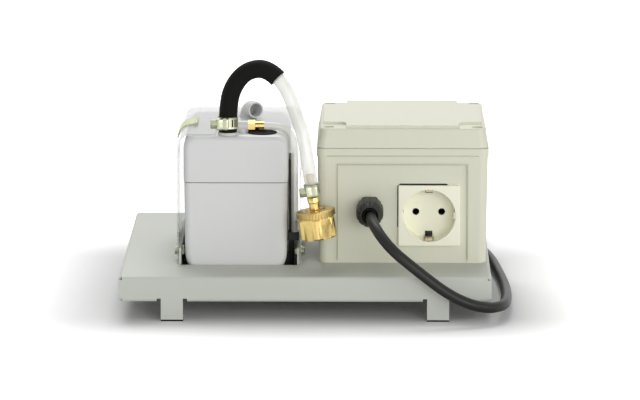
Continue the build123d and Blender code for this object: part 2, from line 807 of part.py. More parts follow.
with BuildPart() as cover_seal:
    with BuildSketch(Plane.XY.offset(PUMP_SEAM)):
        with Locations((PUMP_MIDDLE, pump_middle_y)):
            RectangleRounded(PUMP_WIDTH - 2 * SEAL_INSET, PUMP_LENGTH - 2 * SEAL_INSET, SHELL_EDGE)
            RectangleRounded(
                tank_top_width - 2 * PUMP_WALL,
                tank_length - 2 * PUMP_WALL,
                SHELL_EDGE - PUMP_WALL,
                mode=Mode.SUBTRACT,
            )
    extrude(amount=SEAL_THICKNESS)
finish(cover_seal, "cover_seal")

with BuildPart() as pump_cover:
    outside = cover_profile(Plane.XZ.offset(-PUMP_FRONT), 0, cover_bottom)
    extrude(outside, amount=-PUMP_LENGTH)
    fillet(front_and_rear_edges(pump_cover.part, cover_bottom), SHELL_EDGE)
    inside = cover_profile(Plane.XZ.offset(-(PUMP_FRONT + PUMP_WALL)), PUMP_WALL, cover_bottom)
    extrude(inside, amount=-(PUMP_LENGTH - 2 * PUMP_WALL), mode=Mode.SUBTRACT)
    through = PUMP_WALL + 2
    under = PUMP_TOP - PUMP_WALL - 1
    rod(upright(OUTLET_X, OUTLET_Y, under), NIPPLE_RADIUS + NIPPLE_CLEARANCE, through, Mode.SUBTRACT)
    rod(upright(INLET_X, INLET_Y, under), INLET_RADIUS + NIPPLE_CLEARANCE, through, Mode.SUBTRACT)
    rod(
        upright(UNION_STUB_X, UNION_Y, under),
        UNION_STUB_RADIUS + NIPPLE_CLEARANCE,
        through,
        Mode.SUBTRACT,
    )
finish(pump_cover, "pump_cover")

# ---------------------------------------------------------------- motor and pump group
with BuildPart() as motor_plate:
    with BuildSketch(Plane.XY.offset(plate_bottom)):
        with Locations((PUMP_MIDDLE, pump_middle_y)):
            RectangleRounded(
                tank_top_width - 2 * PUMP_WALL - 2 * PLATE_GAP,
                tank_length - 2 * PUMP_WALL - 2 * PLATE_GAP,
                SHELL_EDGE - PUMP_WALL,
            )
    extrude(amount=PLATE_THICKNESS)
    for side in (-1, 1):
        bracket_post_x = MOTOR_X + side * (BRACKET_LENGTH / 2 - BRACKET_POST / 2)
        block(
            (bracket_post_x - BRACKET_POST / 2, bracket_post_x + BRACKET_POST / 2),
            (MOTOR_Y - BRACKET_WIDTH / 2, MOTOR_Y + BRACKET_WIDTH / 2),
            (plate_top, stack_bottom - BRACKET_THICKNESS),
        )
    below = plate_bottom - 1
    deep = PLATE_THICKNESS + 2
    rod(upright(MOTOR_X, MOTOR_Y, below), COLUMN_BORE, deep, Mode.SUBTRACT)
    rod(upright(OUTLET_X, OUTLET_Y, below), RISER_RADIUS + PLATE_GAP, deep, Mode.SUBTRACT)
    rod(upright(MOTOR_X, FLOAT_Y, below), STEM_RADIUS + STEM_CLEARANCE, deep, Mode.SUBTRACT)
    rod(upright(INLET_X + 14, INLET_Y, below), INLET_BORE, deep, Mode.SUBTRACT)
finish(motor_plate, "motor_plate")

with BuildPart() as motor_stator:
    with BuildSketch(Plane.XY.offset(stack_bottom)):
        with Locations((MOTOR_X, MOTOR_Y + (STACK_REAR - STACK_FRONT) / 2)):
            Rectangle(STACK_WIDTH, STACK_FRONT + STACK_REAR)
        with Locations((MOTOR_X, MOTOR_Y)):
            Circle(ROTOR_RADIUS + ROTOR_AIR_GAP, mode=Mode.SUBTRACT)
        with Locations((MOTOR_X, MOTOR_Y + STACK_REAR - STACK_LEG - STACK_WINDOW / 2)):
            Rectangle(STACK_WINDOW_WIDTH, STACK_WINDOW, mode=Mode.SUBTRACT)
    extrude(amount=STACK_HEIGHT)
finish(motor_stator, "motor_stator")

leg_front = MOTOR_Y + STACK_REAR - STACK_LEG
leg_rear = MOTOR_Y + STACK_REAR
with BuildPart() as motor_coil:
    block(
        (MOTOR_X - COIL_LENGTH / 2, MOTOR_X + COIL_LENGTH / 2),
        (leg_front - COIL_BUILD - COIL_GAP, leg_rear + COIL_BUILD + COIL_GAP),
        (stack_bottom - COIL_BUILD, stack_top + COIL_BUILD),
    )
    fillet(motor_coil.edges().filter_by(Axis.X), 3)
    block(
        (MOTOR_X - COIL_LENGTH, MOTOR_X + COIL_LENGTH),
        (leg_front - COIL_GAP, leg_rear + COIL_GAP),
        (stack_bottom - COIL_GAP, stack_top + COIL_GAP),
        mode=Mode.SUBTRACT,
    )
finish(motor_coil, "motor_coil")

with BuildPart() as motor_brackets:
    for z_low in (stack_bottom - BRACKET_THICKNESS, stack_top):
        with BuildSketch(Plane.XY.offset(z_low)):
            with Locations((MOTOR_X, MOTOR_Y)):
                SlotOverall(BRACKET_LENGTH, BRACKET_WIDTH)
                Circle(SHAFT_RADIUS + SHAFT_CLEARANCE, mode=Mode.SUBTRACT)
        extrude(amount=BRACKET_THICKNESS)
finish(motor_brackets, "motor_brackets")

shaft_bottom = VOLUTE_FLOOR + 1.5
fan_bottom = stack_top + BRACKET_THICKNESS + 0.8
shaft_top = fan_bottom + FAN_HEIGHT
with BuildPart() as motor_shaft:
    rod(upright(MOTOR_X, MOTOR_Y, shaft_bottom), SHAFT_RADIUS, shaft_top - shaft_bottom)
finish(motor_shaft, "motor_shaft")

with BuildPart() as motor_rotor:
    rod(upright(MOTOR_X, MOTOR_Y, stack_bottom + 0.5), ROTOR_RADIUS, STACK_HEIGHT - 1)
    rod(upright(MOTOR_X, MOTOR_Y, stack_bottom - 1), SHAFT_RADIUS, STACK_HEIGHT + 2, Mode.SUBTRACT)
finish(motor_rotor, "motor_rotor")

with BuildPart() as cooling_fan:
    rod(upright(MOTOR_X, MOTOR_Y, fan_bottom), 4.0, FAN_HEIGHT)
    rod(upright(MOTOR_X, MOTOR_Y, fan_bottom), FAN_RADIUS, 0.8)
    with BuildSketch(Plane.XY.offset(fan_bottom)):
        with Locations((MOTOR_X, MOTOR_Y)):
            with PolarLocations((FAN_RADIUS + 3.5) / 2, FAN_BLADES):
                Rectangle(FAN_RADIUS - 3.5, 1.2)
    extrude(amount=FAN_HEIGHT)
    rod(upright(MOTOR_X, MOTOR_Y, fan_bottom - 1), SHAFT_RADIUS, FAN_HEIGHT + 2, Mode.SUBTRACT)
finish(cooling_fan, "cooling_fan")

volute_top = VOLUTE_FLOOR + VOLUTE_HEIGHT
with BuildPart() as pump_column:
    column_foot = volute_top - VOLUTE_WALL
    rod(upright(MOTOR_X, MOTOR_Y, column_foot), COLUMN_RADIUS, plate_bottom - column_foot)
    rod(upright(MOTOR_X, MOTOR_Y, plate_bottom - 3), COLUMN_FLANGE, 3)
    rod(upright(MOTOR_X, MOTOR_Y, VOLUTE_FLOOR), VOLUTE_RADIUS, VOLUTE_HEIGHT)
    rod(
        upright(MOTOR_X, MOTOR_Y, VOLUTE_FLOOR - 1),
        VOLUTE_RADIUS - VOLUTE_WALL,
        VOLUTE_HEIGHT - VOLUTE_WALL + 1,
        Mode.SUBTRACT,
    )
    rod(upright(MOTOR_X, MOTOR_Y, VOLUTE_FLOOR), COLUMN_BORE, plate_bottom, Mode.SUBTRACT)
    spout_start = MOTOR_Y - VOLUTE_RADIUS + VOLUTE_WALL
    spout = facing(OUTLET_X, spout_start, RISER_LEVEL, (0, -1, 0))
    rod(spout, RISER_RADIUS, VOLUTE_WALL + 4)
    rod(facing(OUTLET_X, spout_start + 4, RISER_LEVEL, (0, -1, 0)), RISER_BORE, 14, Mode.SUBTRACT)
finish(pump_column, "pump_column")

with BuildPart() as volute_cover:
    cover_under = VOLUTE_FLOOR - VOLUTE_COVER
    rod(upright(MOTOR_X, MOTOR_Y, cover_under), VOLUTE_RADIUS, VOLUTE_COVER)
    rod(upright(MOTOR_X, MOTOR_Y, cover_under), VOLUTE_INLET, VOLUTE_COVER, Mode.SUBTRACT)
finish(volute_cover, "volute_cover")

impeller_bottom = VOLUTE_FLOOR + IMPELLER_GAP
impeller_height = VOLUTE_HEIGHT - VOLUTE_WALL - 2 * IMPELLER_GAP
with BuildPart() as impeller:
    rod(upright(MOTOR_X, MOTOR_Y, impeller_bottom), IMPELLER_RADIUS, IMPELLER_DISC)
    rod(upright(MOTOR_X, MOTOR_Y, impeller_bottom), IMPELLER_HUB, impeller_height)
    vane_length = IMPELLER_RADIUS - IMPELLER_HUB / 2
    with BuildSketch(Plane.XY.offset(impeller_bottom)):
        with Locations((MOTOR_X, MOTOR_Y)):
            with PolarLocations(IMPELLER_RADIUS - vane_length / 2, IMPELLER_VANES):
                Rectangle(vane_length, IMPELLER_VANE)
    extrude(amount=impeller_height)
    rod(upright(MOTOR_X, MOTOR_Y, impeller_bottom - 1), SHAFT_RADIUS, impeller_height + 2, Mode.SUBTRACT)
finish(impeller, "impeller")

# ---------------------------------------------------------------- float level sensor
stem_bottom = FLOAT_REST - STOP_THICKNESS - STEM_BELOW_STOP
with BuildPart() as float_stem:
    rod(upright(MOTOR_X, FLOAT_Y, stem_bottom), STEM_RADIUS, plate_top - stem_bottom)
    rod(upright(MOTOR_X, FLOAT_Y, plate_top), STEM_HEAD_RADIUS, STEM_HEAD_HEIGHT)
finish(float_stem, "float_stem")

with BuildPart() as float_body:
    block(
        (MOTOR_X - FLOAT_WIDTH / 2, MOTOR_X + FLOAT_WIDTH / 2),
        (FLOAT_Y - FLOAT_DEPTH / 2, FLOAT_Y + FLOAT_DEPTH / 2),
        (FLOAT_REST, FLOAT_REST + FLOAT_HEIGHT),
    )
    fillet(float_body.edges(), 2.5)
    rod(
        upright(MOTOR_X, FLOAT_Y, FLOAT_REST - 1),
        STEM_RADIUS + STEM_CLEARANCE,
        FLOAT_HEIGHT + 2,
        Mode.SUBTRACT,
    )
finish(float_body, "float_body")

with BuildPart() as float_stop:
    stop_low = FLOAT_REST - STOP_THICKNESS
    rod(upright(MOTOR_X, FLOAT_Y, stop_low), STOP_RADIUS, STOP_THICKNESS - 0.2)
    rod(upright(MOTOR_X, FLOAT_Y, stop_low - 1), STEM_RADIUS, STOP_THICKNESS + 1, Mode.SUBTRACT)
finish(float_stop, "float_stop")

# ---------------------------------------------------------------- riser, ball and nipple
with BuildPart() as discharge_riser:
    riser_start = MOTOR_Y - VOLUTE_RADIUS - 4
    riser_route = [
        (OUTLET_X, riser_start, RISER_LEVEL),
        (OUTLET_X, OUTLET_Y, RISER_LEVEL),
        (OUTLET_X, OUTLET_Y, RISER_TOP),
    ]
    tube_along(riser_route, [RISER_BEND], RISER_RADIUS, RISER_BORE)
finish(discharge_riser, "discharge_riser")

ball_rest = RISER_TOP + math.sqrt(BALL_RADIUS**2 - RISER_BORE**2) + SEAT_CLEARANCE
with BuildPart() as valve_ball:
    with Locations((OUTLET_X, OUTLET_Y, ball_rest)):
        Sphere(BALL_RADIUS)
finish(valve_ball, "valve_ball")

barb_radius = HOSE_BORE - BARB_GAP
nipple_top = PUMP_TOP + NIPPLE_COLLAR_HEIGHT + NIPPLE_BARB_LENGTH
with BuildPart() as outlet_nipple:
    rod(upright(OUTLET_X, OUTLET_Y, RISER_TOP), NIPPLE_RADIUS, PUMP_TOP - RISER_TOP)
    rod(upright(OUTLET_X, OUTLET_Y, PUMP_TOP), NIPPLE_COLLAR, NIPPLE_COLLAR_HEIGHT)
    rod(upright(OUTLET_X, OUTLET_Y, PUMP_TOP), barb_radius, nipple_top - PUMP_TOP)
    rod(upright(OUTLET_X, OUTLET_Y, RISER_TOP - 1), RISER_BORE - 0.6, nipple_top, Mode.SUBTRACT)
    rod(upright(OUTLET_X, OUTLET_Y, RISER_TOP - 1), BALL_CHAMBER, BALL_CHAMBER_HEIGHT + 1, Mode.SUBTRACT)
finish(outlet_nipple, "outlet_nipple")

# ---------------------------------------------------------------- discharge hose and sleeve
hose_route = [
    (OUTLET_X, OUTLET_Y, hose_start),
    (OUTLET_X, OUTLET_Y, PUMP_TOP + HOSE_RISE + 2),
    *HOSE_ROUTE_TOP,
    tuple(along_tail(TAIL_END + HOSE_LAST_RUN)),
    tuple(along_tail(TAIL_END)),
]
hose_radii = bend_radii(hose_route)
with BuildPart() as discharge_hose:
    hose_length = tube_along(hose_route, hose_radii, HOSE_RADIUS, HOSE_BORE)
finish(discharge_hose, "discharge_hose")

sleeve_start = PUMP_TOP + NIPPLE_COLLAR_HEIGHT + 0.3
sleeve_bend = Vector(*hose_route[SLEEVE_BENDS + 1])
sleeve_corner = Vector(*hose_route[SLEEVE_BENDS])
sleeve_end = sleeve_corner + (sleeve_bend - sleeve_corner) * SLEEVE_END_SHARE
sleeve_route = [(OUTLET_X, OUTLET_Y, sleeve_start), *hose_route[1 : SLEEVE_BENDS + 1], tuple(sleeve_end)]
with BuildPart() as insulating_sleeve:
    sleeve_length = tube_along(
        sleeve_route,
        hose_radii[:SLEEVE_BENDS],
        SLEEVE_RADIUS,
        HOSE_RADIUS + SLEEVE_GAP,
    )
finish(insulating_sleeve, "insulating_sleeve")


def clamp_housing_plane(plane, band_outer, shift):
    """Plane across the worm screw's axis, in the middle of a clamp's housing."""
    centre = (
        plane.origin
        + plane.x_dir * (band_outer + CLAMP_HOUSING_DEPTH / 2 - CLAMP_BAND)
        + plane.y_dir * shift
        + plane.z_dir * (CLAMP_WIDTH / 2)
    )
    return Plane(origin=centre, x_dir=plane.x_dir, z_dir=plane.y_dir)


def hose_clamp(plane, bore, shift):
    """Add a worm-drive band clamp: band, and housing on its front with the screw's bore."""
    outer = bore + CLAMP_BAND
    rod(plane, outer, CLAMP_WIDTH)
    across = clamp_housing_plane(plane, outer, shift)
    with BuildSketch(across.offset(-CLAMP_HOUSING_LENGTH / 2)) as housing:
        Rectangle(CLAMP_HOUSING_DEPTH, CLAMP_WIDTH)
    extrude(housing.sketch, amount=CLAMP_HOUSING_LENGTH)
    rod(plane, bore, CLAMP_WIDTH, Mode.SUBTRACT)
    rod(
        across.offset(-CLAMP_HOUSING_LENGTH),
        CLAMP_SCREW_RADIUS + CLAMP_SCREW_CLEARANCE,
        2 * CLAMP_HOUSING_LENGTH,
        Mode.SUBTRACT,
    )


def clamp_screw(plane, bore, shift):
    """Add the worm screw of a band clamp, with a slotted hexagon head."""
    across = clamp_housing_plane(plane, bore + CLAMP_BAND, shift)
    worm_length = CLAMP_HOUSING_LENGTH + 2 * CLAMP_HEAD_GAP
    rod(across.offset(-CLAMP_HOUSING_LENGTH / 2), CLAMP_SCREW_RADIUS, worm_length)
    head = across.offset(CLAMP_HOUSING_LENGTH / 2 + CLAMP_HEAD_GAP)
    hexagon(head, CLAMP_HEAD_ACROSS, CLAMP_HEAD_LENGTH)
    with BuildSketch(head.offset(CLAMP_HEAD_LENGTH - CLAMP_SLOT_DEPTH)) as slot:
        Rectangle(CLAMP_HEAD_ACROSS * 2, CLAMP_SLOT_WIDTH)
    extrude(slot.sketch, amount=2 * CLAMP_SLOT_DEPTH, mode=Mode.SUBTRACT)


# Each clamp's plane has its x towards the front and its y towards the screw's head at the left.
outlet_clamp_plane = Plane(
    origin=(OUTLET_X, OUTLET_Y, sleeve_start + 2.6), x_dir=(0, -1, 0), z_dir=(0, 0, -1)
)
outlet_clamp_plane = outlet_clamp_plane.offset(-CLAMP_WIDTH)
tail_clamp_plane = Plane(
    origin=along_tail(TAIL_END + 0.6 + CLAMP_WIDTH), x_dir=(0, -1, 0), z_dir=-tail_axis
)
sleeve_bore_clamp = SLEEVE_RADIUS + CLAMP_GAP
hose_bore_clamp = HOSE_RADIUS + CLAMP_GAP

with BuildPart() as outlet_clamp:
    hose_clamp(outlet_clamp_plane, sleeve_bore_clamp, OUTLET_HOUSING_SHIFT)
finish(outlet_clamp, "outlet_clamp")

with BuildPart() as outlet_clamp_screw:
    clamp_screw(outlet_clamp_plane, sleeve_bore_clamp, OUTLET_HOUSING_SHIFT)
finish(outlet_clamp_screw, "outlet_clamp_screw")

with BuildPart() as tail_clamp:
    hose_clamp(tail_clamp_plane, hose_bore_clamp, TAIL_HOUSING_SHIFT)
finish(tail_clamp, "tail_clamp")

with BuildPart() as tail_clamp_screw:
    clamp_screw(tail_clamp_plane, hose_bore_clamp, TAIL_HOUSING_SHIFT)
finish(tail_clamp_screw, "tail_clamp_screw")

# ---------------------------------------------------------------- brass fitting
# The nut's thread runs from its mouth to the washer. Above it a plain seat holds washer and head.
shoulder = NUT_SEAT_TOP
head_top = shoulder - NUT_SEAT_PLAY
washer_bottom = head_top - TAIL_HEAD_HEIGHT - WASHER_THICKNESS
with BuildPart() as hose_tail:
    rod(tail_plane(head_top - TAIL_HEAD_HEIGHT), TAIL_HEAD, TAIL_HEAD_HEIGHT)
    rod(tail_plane(head_top - TAIL_ROOT), TAIL_STEM, TAIL_END - head_top - TAIL_ROOT)
    rod(tail_plane(TAIL_END - TAIL_BARB_ROOT), barb_radius, TAIL_BARB_LENGTH + TAIL_BARB_ROOT)
    for ridge in range(TAIL_RIDGES):
        base = tail_plane(TAIL_END - TAIL_ROOT - TAIL_RIDGE_PITCH * (ridge + 1))
        rod(base, TAIL_STEM + TAIL_RIDGE, TAIL_RIDGE_WIDTH)
    rod(tail_plane(-NUT_BELOW), TAIL_BORE, CUT_THROUGH, Mode.SUBTRACT)
finish(hose_tail, "hose_tail")

with BuildPart() as union_nut:
    hexagon(tail_plane(-NUT_BELOW), NUT_ACROSS, NUT_BELOW + NUT_ABOVE - NUT_FLANGE_HEIGHT)
    with BuildSketch(tail_plane(-NUT_BELOW)):
        Circle(NUT_RADIUS)
    extrude(amount=NUT_BELOW + NUT_ABOVE, mode=Mode.INTERSECT)
    rod(tail_plane(NUT_ABOVE - NUT_FLANGE_HEIGHT), NUT_FLANGE, NUT_FLANGE_HEIGHT)
    with BuildSketch(tail_plane(NUT_ABOVE - NUT_FLANGE_HEIGHT)):
        with PolarLocations(NUT_FLANGE + NUT_TOOTH_OUT, NUT_FLANGE_TEETH):
            Circle(NUT_TOOTH_RADIUS)
    extrude(amount=NUT_FLANGE_HEIGHT, mode=Mode.SUBTRACT)
    rod(tail_plane(-NUT_BELOW), NUT_THREAD_BORE, NUT_BELOW + washer_bottom, Mode.SUBTRACT)
    rod(
        tail_plane(washer_bottom),
        TAIL_HEAD + NUT_SEAT_CLEARANCE,
        shoulder - washer_bottom,
        Mode.SUBTRACT,
    )
    rod(tail_plane(0), TAIL_STEM + TAIL_FIT, 2 * NUT_ABOVE, Mode.SUBTRACT)
finish(union_nut, "union_nut")

with BuildPart() as union_washer:
    with BuildSketch(tail_plane(washer_bottom)):
        Circle(TAIL_HEAD)
        Circle(WASHER_BORE, mode=Mode.SUBTRACT)
    extrude(amount=WASHER_THICKNESS)
finish(union_washer, "union_washer")

# ---------------------------------------------------------------- level tube and its fittings
with BuildPart() as tube_union:
    rod(facing(UNION_LEFT, UNION_Y, UNION_Z, (1, 0, 0)), UNION_RADIUS, UNION_RIGHT - UNION_LEFT)
    stub_foot = PUMP_TOP - PUMP_WALL
    rod(upright(UNION_STUB_X, UNION_Y, stub_foot), UNION_STUB_RADIUS, UNION_Z - stub_foot)
    rod(upright(UNION_STUB_X, UNION_Y, stub_foot - 1), TUBE_BORE, UNION_Z - stub_foot + 1, Mode.SUBTRACT)
    rod(
        facing(UNION_STUB_X, UNION_Y, UNION_Z, (1, 0, 0)),
        TUBE_BORE,
        UNION_RIGHT - UNION_LEFT,
        Mode.SUBTRACT,
    )
finish(tube_union, "tube_union")

with BuildPart() as brass_elbow:
    hexagon(facing(UNION_RIGHT, UNION_Y, UNION_Z, (1, 0, 0)), FITTING_ACROSS, FITTING_HEX_LENGTH)
    rod(
        facing(UNION_RIGHT, UNION_Y, UNION_Z, (1, 0, 0)),
        TUBE_RADIUS + 0.6,
        FITTING_RIGHT - UNION_RIGHT,
    )
    elbow_bore = facing(UNION_RIGHT - 1, UNION_Y, UNION_Z, (1, 0, 0))
    rod(elbow_bore, FITTING_BORE, CUT_THROUGH, Mode.SUBTRACT)
finish(brass_elbow, "brass_elbow")

port_side = PUMP_MIDDLE + PUMP_WIDTH / 2 - TANK_INSET
port_wall = port_side - (PUMP_SEAM - PORT_Z - PORT_BLOCK) * math.tan(math.radians(TANK_TAPER))
with BuildPart() as tank_port:
    block(
        (port_wall, PORT_X + PORT_BLOCK),
        (PORT_Y - PORT_BLOCK, PORT_Y + PORT_BLOCK),
        (PORT_Z - PORT_BLOCK, PORT_Z + PORT_BLOCK),
    )
    rod(upright(PORT_X, PORT_Y, PORT_Z), TUBE_BORE - TUBE_PLAY, PORT_BARB_TOP - PORT_Z)
    spigot = facing(port_wall, PORT_Y, PORT_Z, (-1, 0, 0))
    rod(spigot, PORT_SPIGOT, 2 * PUMP_WALL)
    rod(upright(PORT_X, PORT_Y, PORT_Z), PORT_DUCT, PORT_BARB_TOP - PORT_Z + 1, Mode.SUBTRACT)
    duct = facing(PORT_X, PORT_Y, PORT_Z, (-1, 0, 0))
    rod(duct, PORT_DUCT, PUMP_WIDTH / 2, Mode.SUBTRACT)
finish(tank_port, "tank_port")

tube_end = PORT_Z + PORT_BLOCK
tube_route = [
    (FITTING_RIGHT, UNION_Y, UNION_Z),
    *TUBE_ROUTE_TOP,
    (PORT_X, PORT_Y, tube_end + TUBE_LAST_POINT_ABOVE),
    (PORT_X, PORT_Y, tube_end),
]
tube_radii = bend_radii(tube_route)
with BuildPart() as level_tube:
    level_length = tube_along(tube_route, tube_radii, TUBE_RADIUS, TUBE_BORE)
finish(level_tube, "level_tube")

# ---------------------------------------------------------------- inlet elbow
inlet_out = (math.sin(math.radians(INLET_TURN)), -math.cos(math.radians(INLET_TURN)), 0)
with BuildPart() as inlet_elbow:
    rod(
        upright(INLET_X, INLET_Y, PUMP_TOP - PUMP_WALL),
        INLET_RADIUS,
        INLET_AXIS_Z - PUMP_TOP + PUMP_WALL,
    )
    with Locations((INLET_X, INLET_Y, INLET_AXIS_Z)):
        Sphere(INLET_RADIUS)
    rod(facing(INLET_X, INLET_Y, INLET_AXIS_Z, inlet_out), INLET_RADIUS, INLET_REACH)
    rod(
        upright(INLET_X, INLET_Y, PUMP_TOP - PUMP_WALL - 1),
        INLET_BORE,
        INLET_AXIS_Z - PUMP_TOP + PUMP_WALL + 1,
        Mode.SUBTRACT,
    )
    with Locations((INLET_X, INLET_Y, INLET_AXIS_Z)):
        Sphere(INLET_BORE, mode=Mode.SUBTRACT)
    rod(facing(INLET_X, INLET_Y, INLET_AXIS_Z, inlet_out), INLET_BORE, 2 * INLET_REACH, Mode.SUBTRACT)
finish(inlet_elbow, "inlet_elbow")

# ---------------------------------------------------------------- junction box
box_middle_y = BOX_FRONT + BOX_DEPTH / 2
rail_y = BOX_FRONT + BOX_DEPTH - RAIL_FROM_REAR
box_floor_top = TRAY_TOP + BOX_FLOOR
upper_width = BOX_WIDTH - 2 * BOX_RIM_STEP
upper_depth = BOX_DEPTH - 2 * BOX_RIM_STEP
lower_width = upper_width - 2 * (BOX_DRAFT_SIDE - BOX_RIM_STEP)
lower_depth = upper_depth - 2 * BOX_DRAFT_FRONT
post_x = BOX_WIDTH / 2 - POST_INSET
post_y = BOX_DEPTH / 2 - POST_INSET
post_places = [
    (BOX_MIDDLE_X + sx * post_x, box_middle_y + sy * post_y) for sx in (-1, 1) for sy in (-1, 1)
]
box_screw_places = [
    (BOX_MIDDLE_X + sx * BOX_SCREW_X, box_middle_y + sy * BOX_SCREW_Y)
    for sx in (-1, 1)
    for sy in (-1, 1)
]
panel_inside = PANEL_FACE + BOX_WALL


def box_outline(height, width, depth, corner):
    """Rounded rectangle on the box's upright axis."""
    middle = (BOX_MIDDLE_X, box_middle_y)
    with BuildSketch(Plane.XY.offset(height)) as outline:
        with Locations(middle):
            RectangleRounded(width, depth, corner)
    return outline.sketch


with BuildPart() as box_body:
    low = box_outline(TRAY_TOP, lower_width, lower_depth, BOX_CORNER)
    high = box_outline(BOX_RIM_BOTTOM, upper_width, upper_depth, BOX_CORNER)
    loft([low, high])
    extrude(
        box_outline(BOX_RIM_BOTTOM, BOX_WIDTH, BOX_DEPTH, BOX_CORNER),
        amount=BOX_JOINT - BOX_RIM_BOTTOM,
    )
    # Recessed front panel, upright while the wall itself leans with its draft.
    block(
        (PANEL_LEFT, PANEL_RIGHT),
        (BOX_FRONT - 1, PANEL_FACE),
        (TRAY_TOP - 1, PANEL_TOP),
        mode=Mode.SUBTRACT,
    )
    hollow_width = lower_width - 2 * BOX_WALL
    hollow_depth = BOX_DEPTH - 2 * (panel_inside - BOX_FRONT)
    hollow = box_outline(box_floor_top, hollow_width, hollow_depth, BOX_CORNER - BOX_WALL)
    extrude(hollow, amount=BOX_JOINT, mode=Mode.SUBTRACT)
    for x, y in post_places:
        post_low = box_floor_top - ROOT
        rod(upright(x, y, post_low), POST_RADIUS, BOX_JOINT - post_low)
        screw_foot = upright(x, y, BOX_JOINT - LID_SCREW_LENGTH)
        rod(screw_foot, POST_SCREW + POST_FIT, LID_SCREW_LENGTH + 1, Mode.SUBTRACT)
    for x, y in box_screw_places:
        rod(upright(x, y, TRAY_TOP - 1), BOX_SCREW_RADIUS + BOX_SCREW_CLEARANCE, BOX_FLOOR + 2, Mode.SUBTRACT)
    cut = SOCKET_BODY / 2 + SOCKET_CUT_GAP
    block(
        (SOCKET_X - cut, SOCKET_X + cut),
        (BOX_FRONT - 1, panel_inside + 1),
        (SOCKET_Z - cut, SOCKET_Z + cut),
        mode=Mode.SUBTRACT,
    )
    gland_hole = facing(GLAND_X, BOX_FRONT - 1, GLAND_Z, (0, 1, 0))
    rod(gland_hole, GLAND_THREAD + GLAND_HOLE_GAP, 3 * BOX_WALL, Mode.SUBTRACT)
finish(box_body, "box_body")

lid_bottom = BOX_JOINT + LID_GAP
lid_edge_top = BOX_JOINT + LID_HEIGHT
lid_top = lid_edge_top + LID_RAISE
lid_width = BOX_WIDTH - 2 * LID_INSET
lid_depth = BOX_DEPTH - 2 * LID_INSET
with BuildPart() as box_lid:
    low = box_outline(lid_bottom, lid_width, lid_depth, BOX_CORNER)
    high = box_outline(
        lid_edge_top, lid_width - 2 * LID_DRAFT, lid_depth - 2 * LID_DRAFT, BOX_CORNER
    )
    loft([low, high])
    fillet(box_lid.faces().sort_by(Axis.Z)[-1].edges(), LID_EDGE_ROUND)
    # Raised middle of the lid, with a lower lobe left at each corner for its screw.
    lid_top_width = lid_width - 2 * LID_DRAFT - 2 * LID_EDGE_ROUND
    lid_top_depth = lid_depth - 2 * LID_DRAFT - 2 * LID_EDGE_ROUND
    with BuildSketch(Plane.XY.offset(lid_edge_top - ROOT)) as plateau:
        with Locations((BOX_MIDDLE_X, box_middle_y)):
            RectangleRounded(lid_top_width, lid_top_depth, LID_PLATEAU_CORNER)
            with GridLocations(lid_top_width, lid_top_depth, 2, 2):
                RectangleRounded(2 * LID_LOBE, 2 * LID_LOBE, LID_LOBE_CORNER, mode=Mode.SUBTRACT)
    extrude(amount=LID_RAISE + ROOT)
    fillet(box_lid.faces().sort_by(Axis.Z)[-1].edges(), LID_PLATEAU_ROUND)
    hollow = box_outline(
        lid_bottom,
        hollow_width - 2 * LID_SKIRT_GAP,
        hollow_depth - 2 * LID_SKIRT_GAP,
        BOX_CORNER - BOX_WALL,
    )
    extrude(hollow, amount=lid_edge_top - LID_WALL - lid_bottom, mode=Mode.SUBTRACT)
    for x, y in post_places:
        rod(upright(x, y, lid_bottom), POST_RADIUS, lid_edge_top - lid_bottom - 2 * ROOT)
        rod(upright(x, y, lid_bottom - 1), POST_HOLE, CUT_THROUGH, Mode.SUBTRACT)
        rod(
            upright(x, y, lid_edge_top - LID_SCREW_HEAD_HEIGHT - LID_SCREW_SUNK),
            LID_SCREW_HEAD + LID_WELL_PLAY,
            LID_HEIGHT,
            Mode.SUBTRACT,
        )
finish(box_lid, "box_lid")

with BuildPart() as lid_gasket:
    inner = box_outline(BOX_JOINT, hollow_width, hollow_depth, BOX_CORNER - BOX_WALL)
    outer_width = BOX_WIDTH - 2 * GASKET_INSET
    outer_depth = BOX_DEPTH - 2 * GASKET_INSET
    outer = box_outline(BOX_JOINT, outer_width, outer_depth, BOX_CORNER - 2 * ROOT)
    extrude(outer, amount=LID_GAP)
    extrude(inner, amount=LID_GAP, mode=Mode.SUBTRACT)
    for x, y in post_places:
        rod(upright(x, y, BOX_JOINT), POST_HOLE + GASKET_HOLE_PLAY, LID_GAP, Mode.SUBTRACT)
finish(lid_gasket, "lid_gasket")

screw_seat = lid_edge_top - LID_SCREW_HEAD_HEIGHT - LID_SCREW_SUNK
with BuildPart() as lid_screws:
    for x, y in post_places:
        rod(upright(x, y, screw_seat), LID_SCREW_HEAD, LID_SCREW_HEAD_HEIGHT)
        rod(upright(x, y, screw_seat - LID_SCREW_LENGTH), POST_SCREW, LID_SCREW_LENGTH)
        block(
            (x - LID_SCREW_HEAD, x + LID_SCREW_HEAD),
            (y - LID_SCREW_SLOT / 2, y + LID_SCREW_SLOT / 2),
            (screw_seat + LID_SCREW_HEAD_HEIGHT - LID_SCREW_SLOT_DEPTH, lid_top),
            mode=Mode.SUBTRACT,
        )
finish(lid_screws, "lid_screws")

with BuildPart() as box_screws:
    for x, y in box_screw_places:
        rod(upright(x, y, box_floor_top), BOX_SCREW_HEAD, BOX_SCREW_HEAD_HEIGHT)
        nut_seat = upright(x, y, tray_under - BOX_NUT_HEIGHT)
        rod(nut_seat, BOX_SCREW_RADIUS, box_floor_top - tray_under + BOX_NUT_HEIGHT)
        hexagon(nut_seat, BOX_NUT_ACROSS, BOX_NUT_HEIGHT)
finish(box_screws, "box_screws")

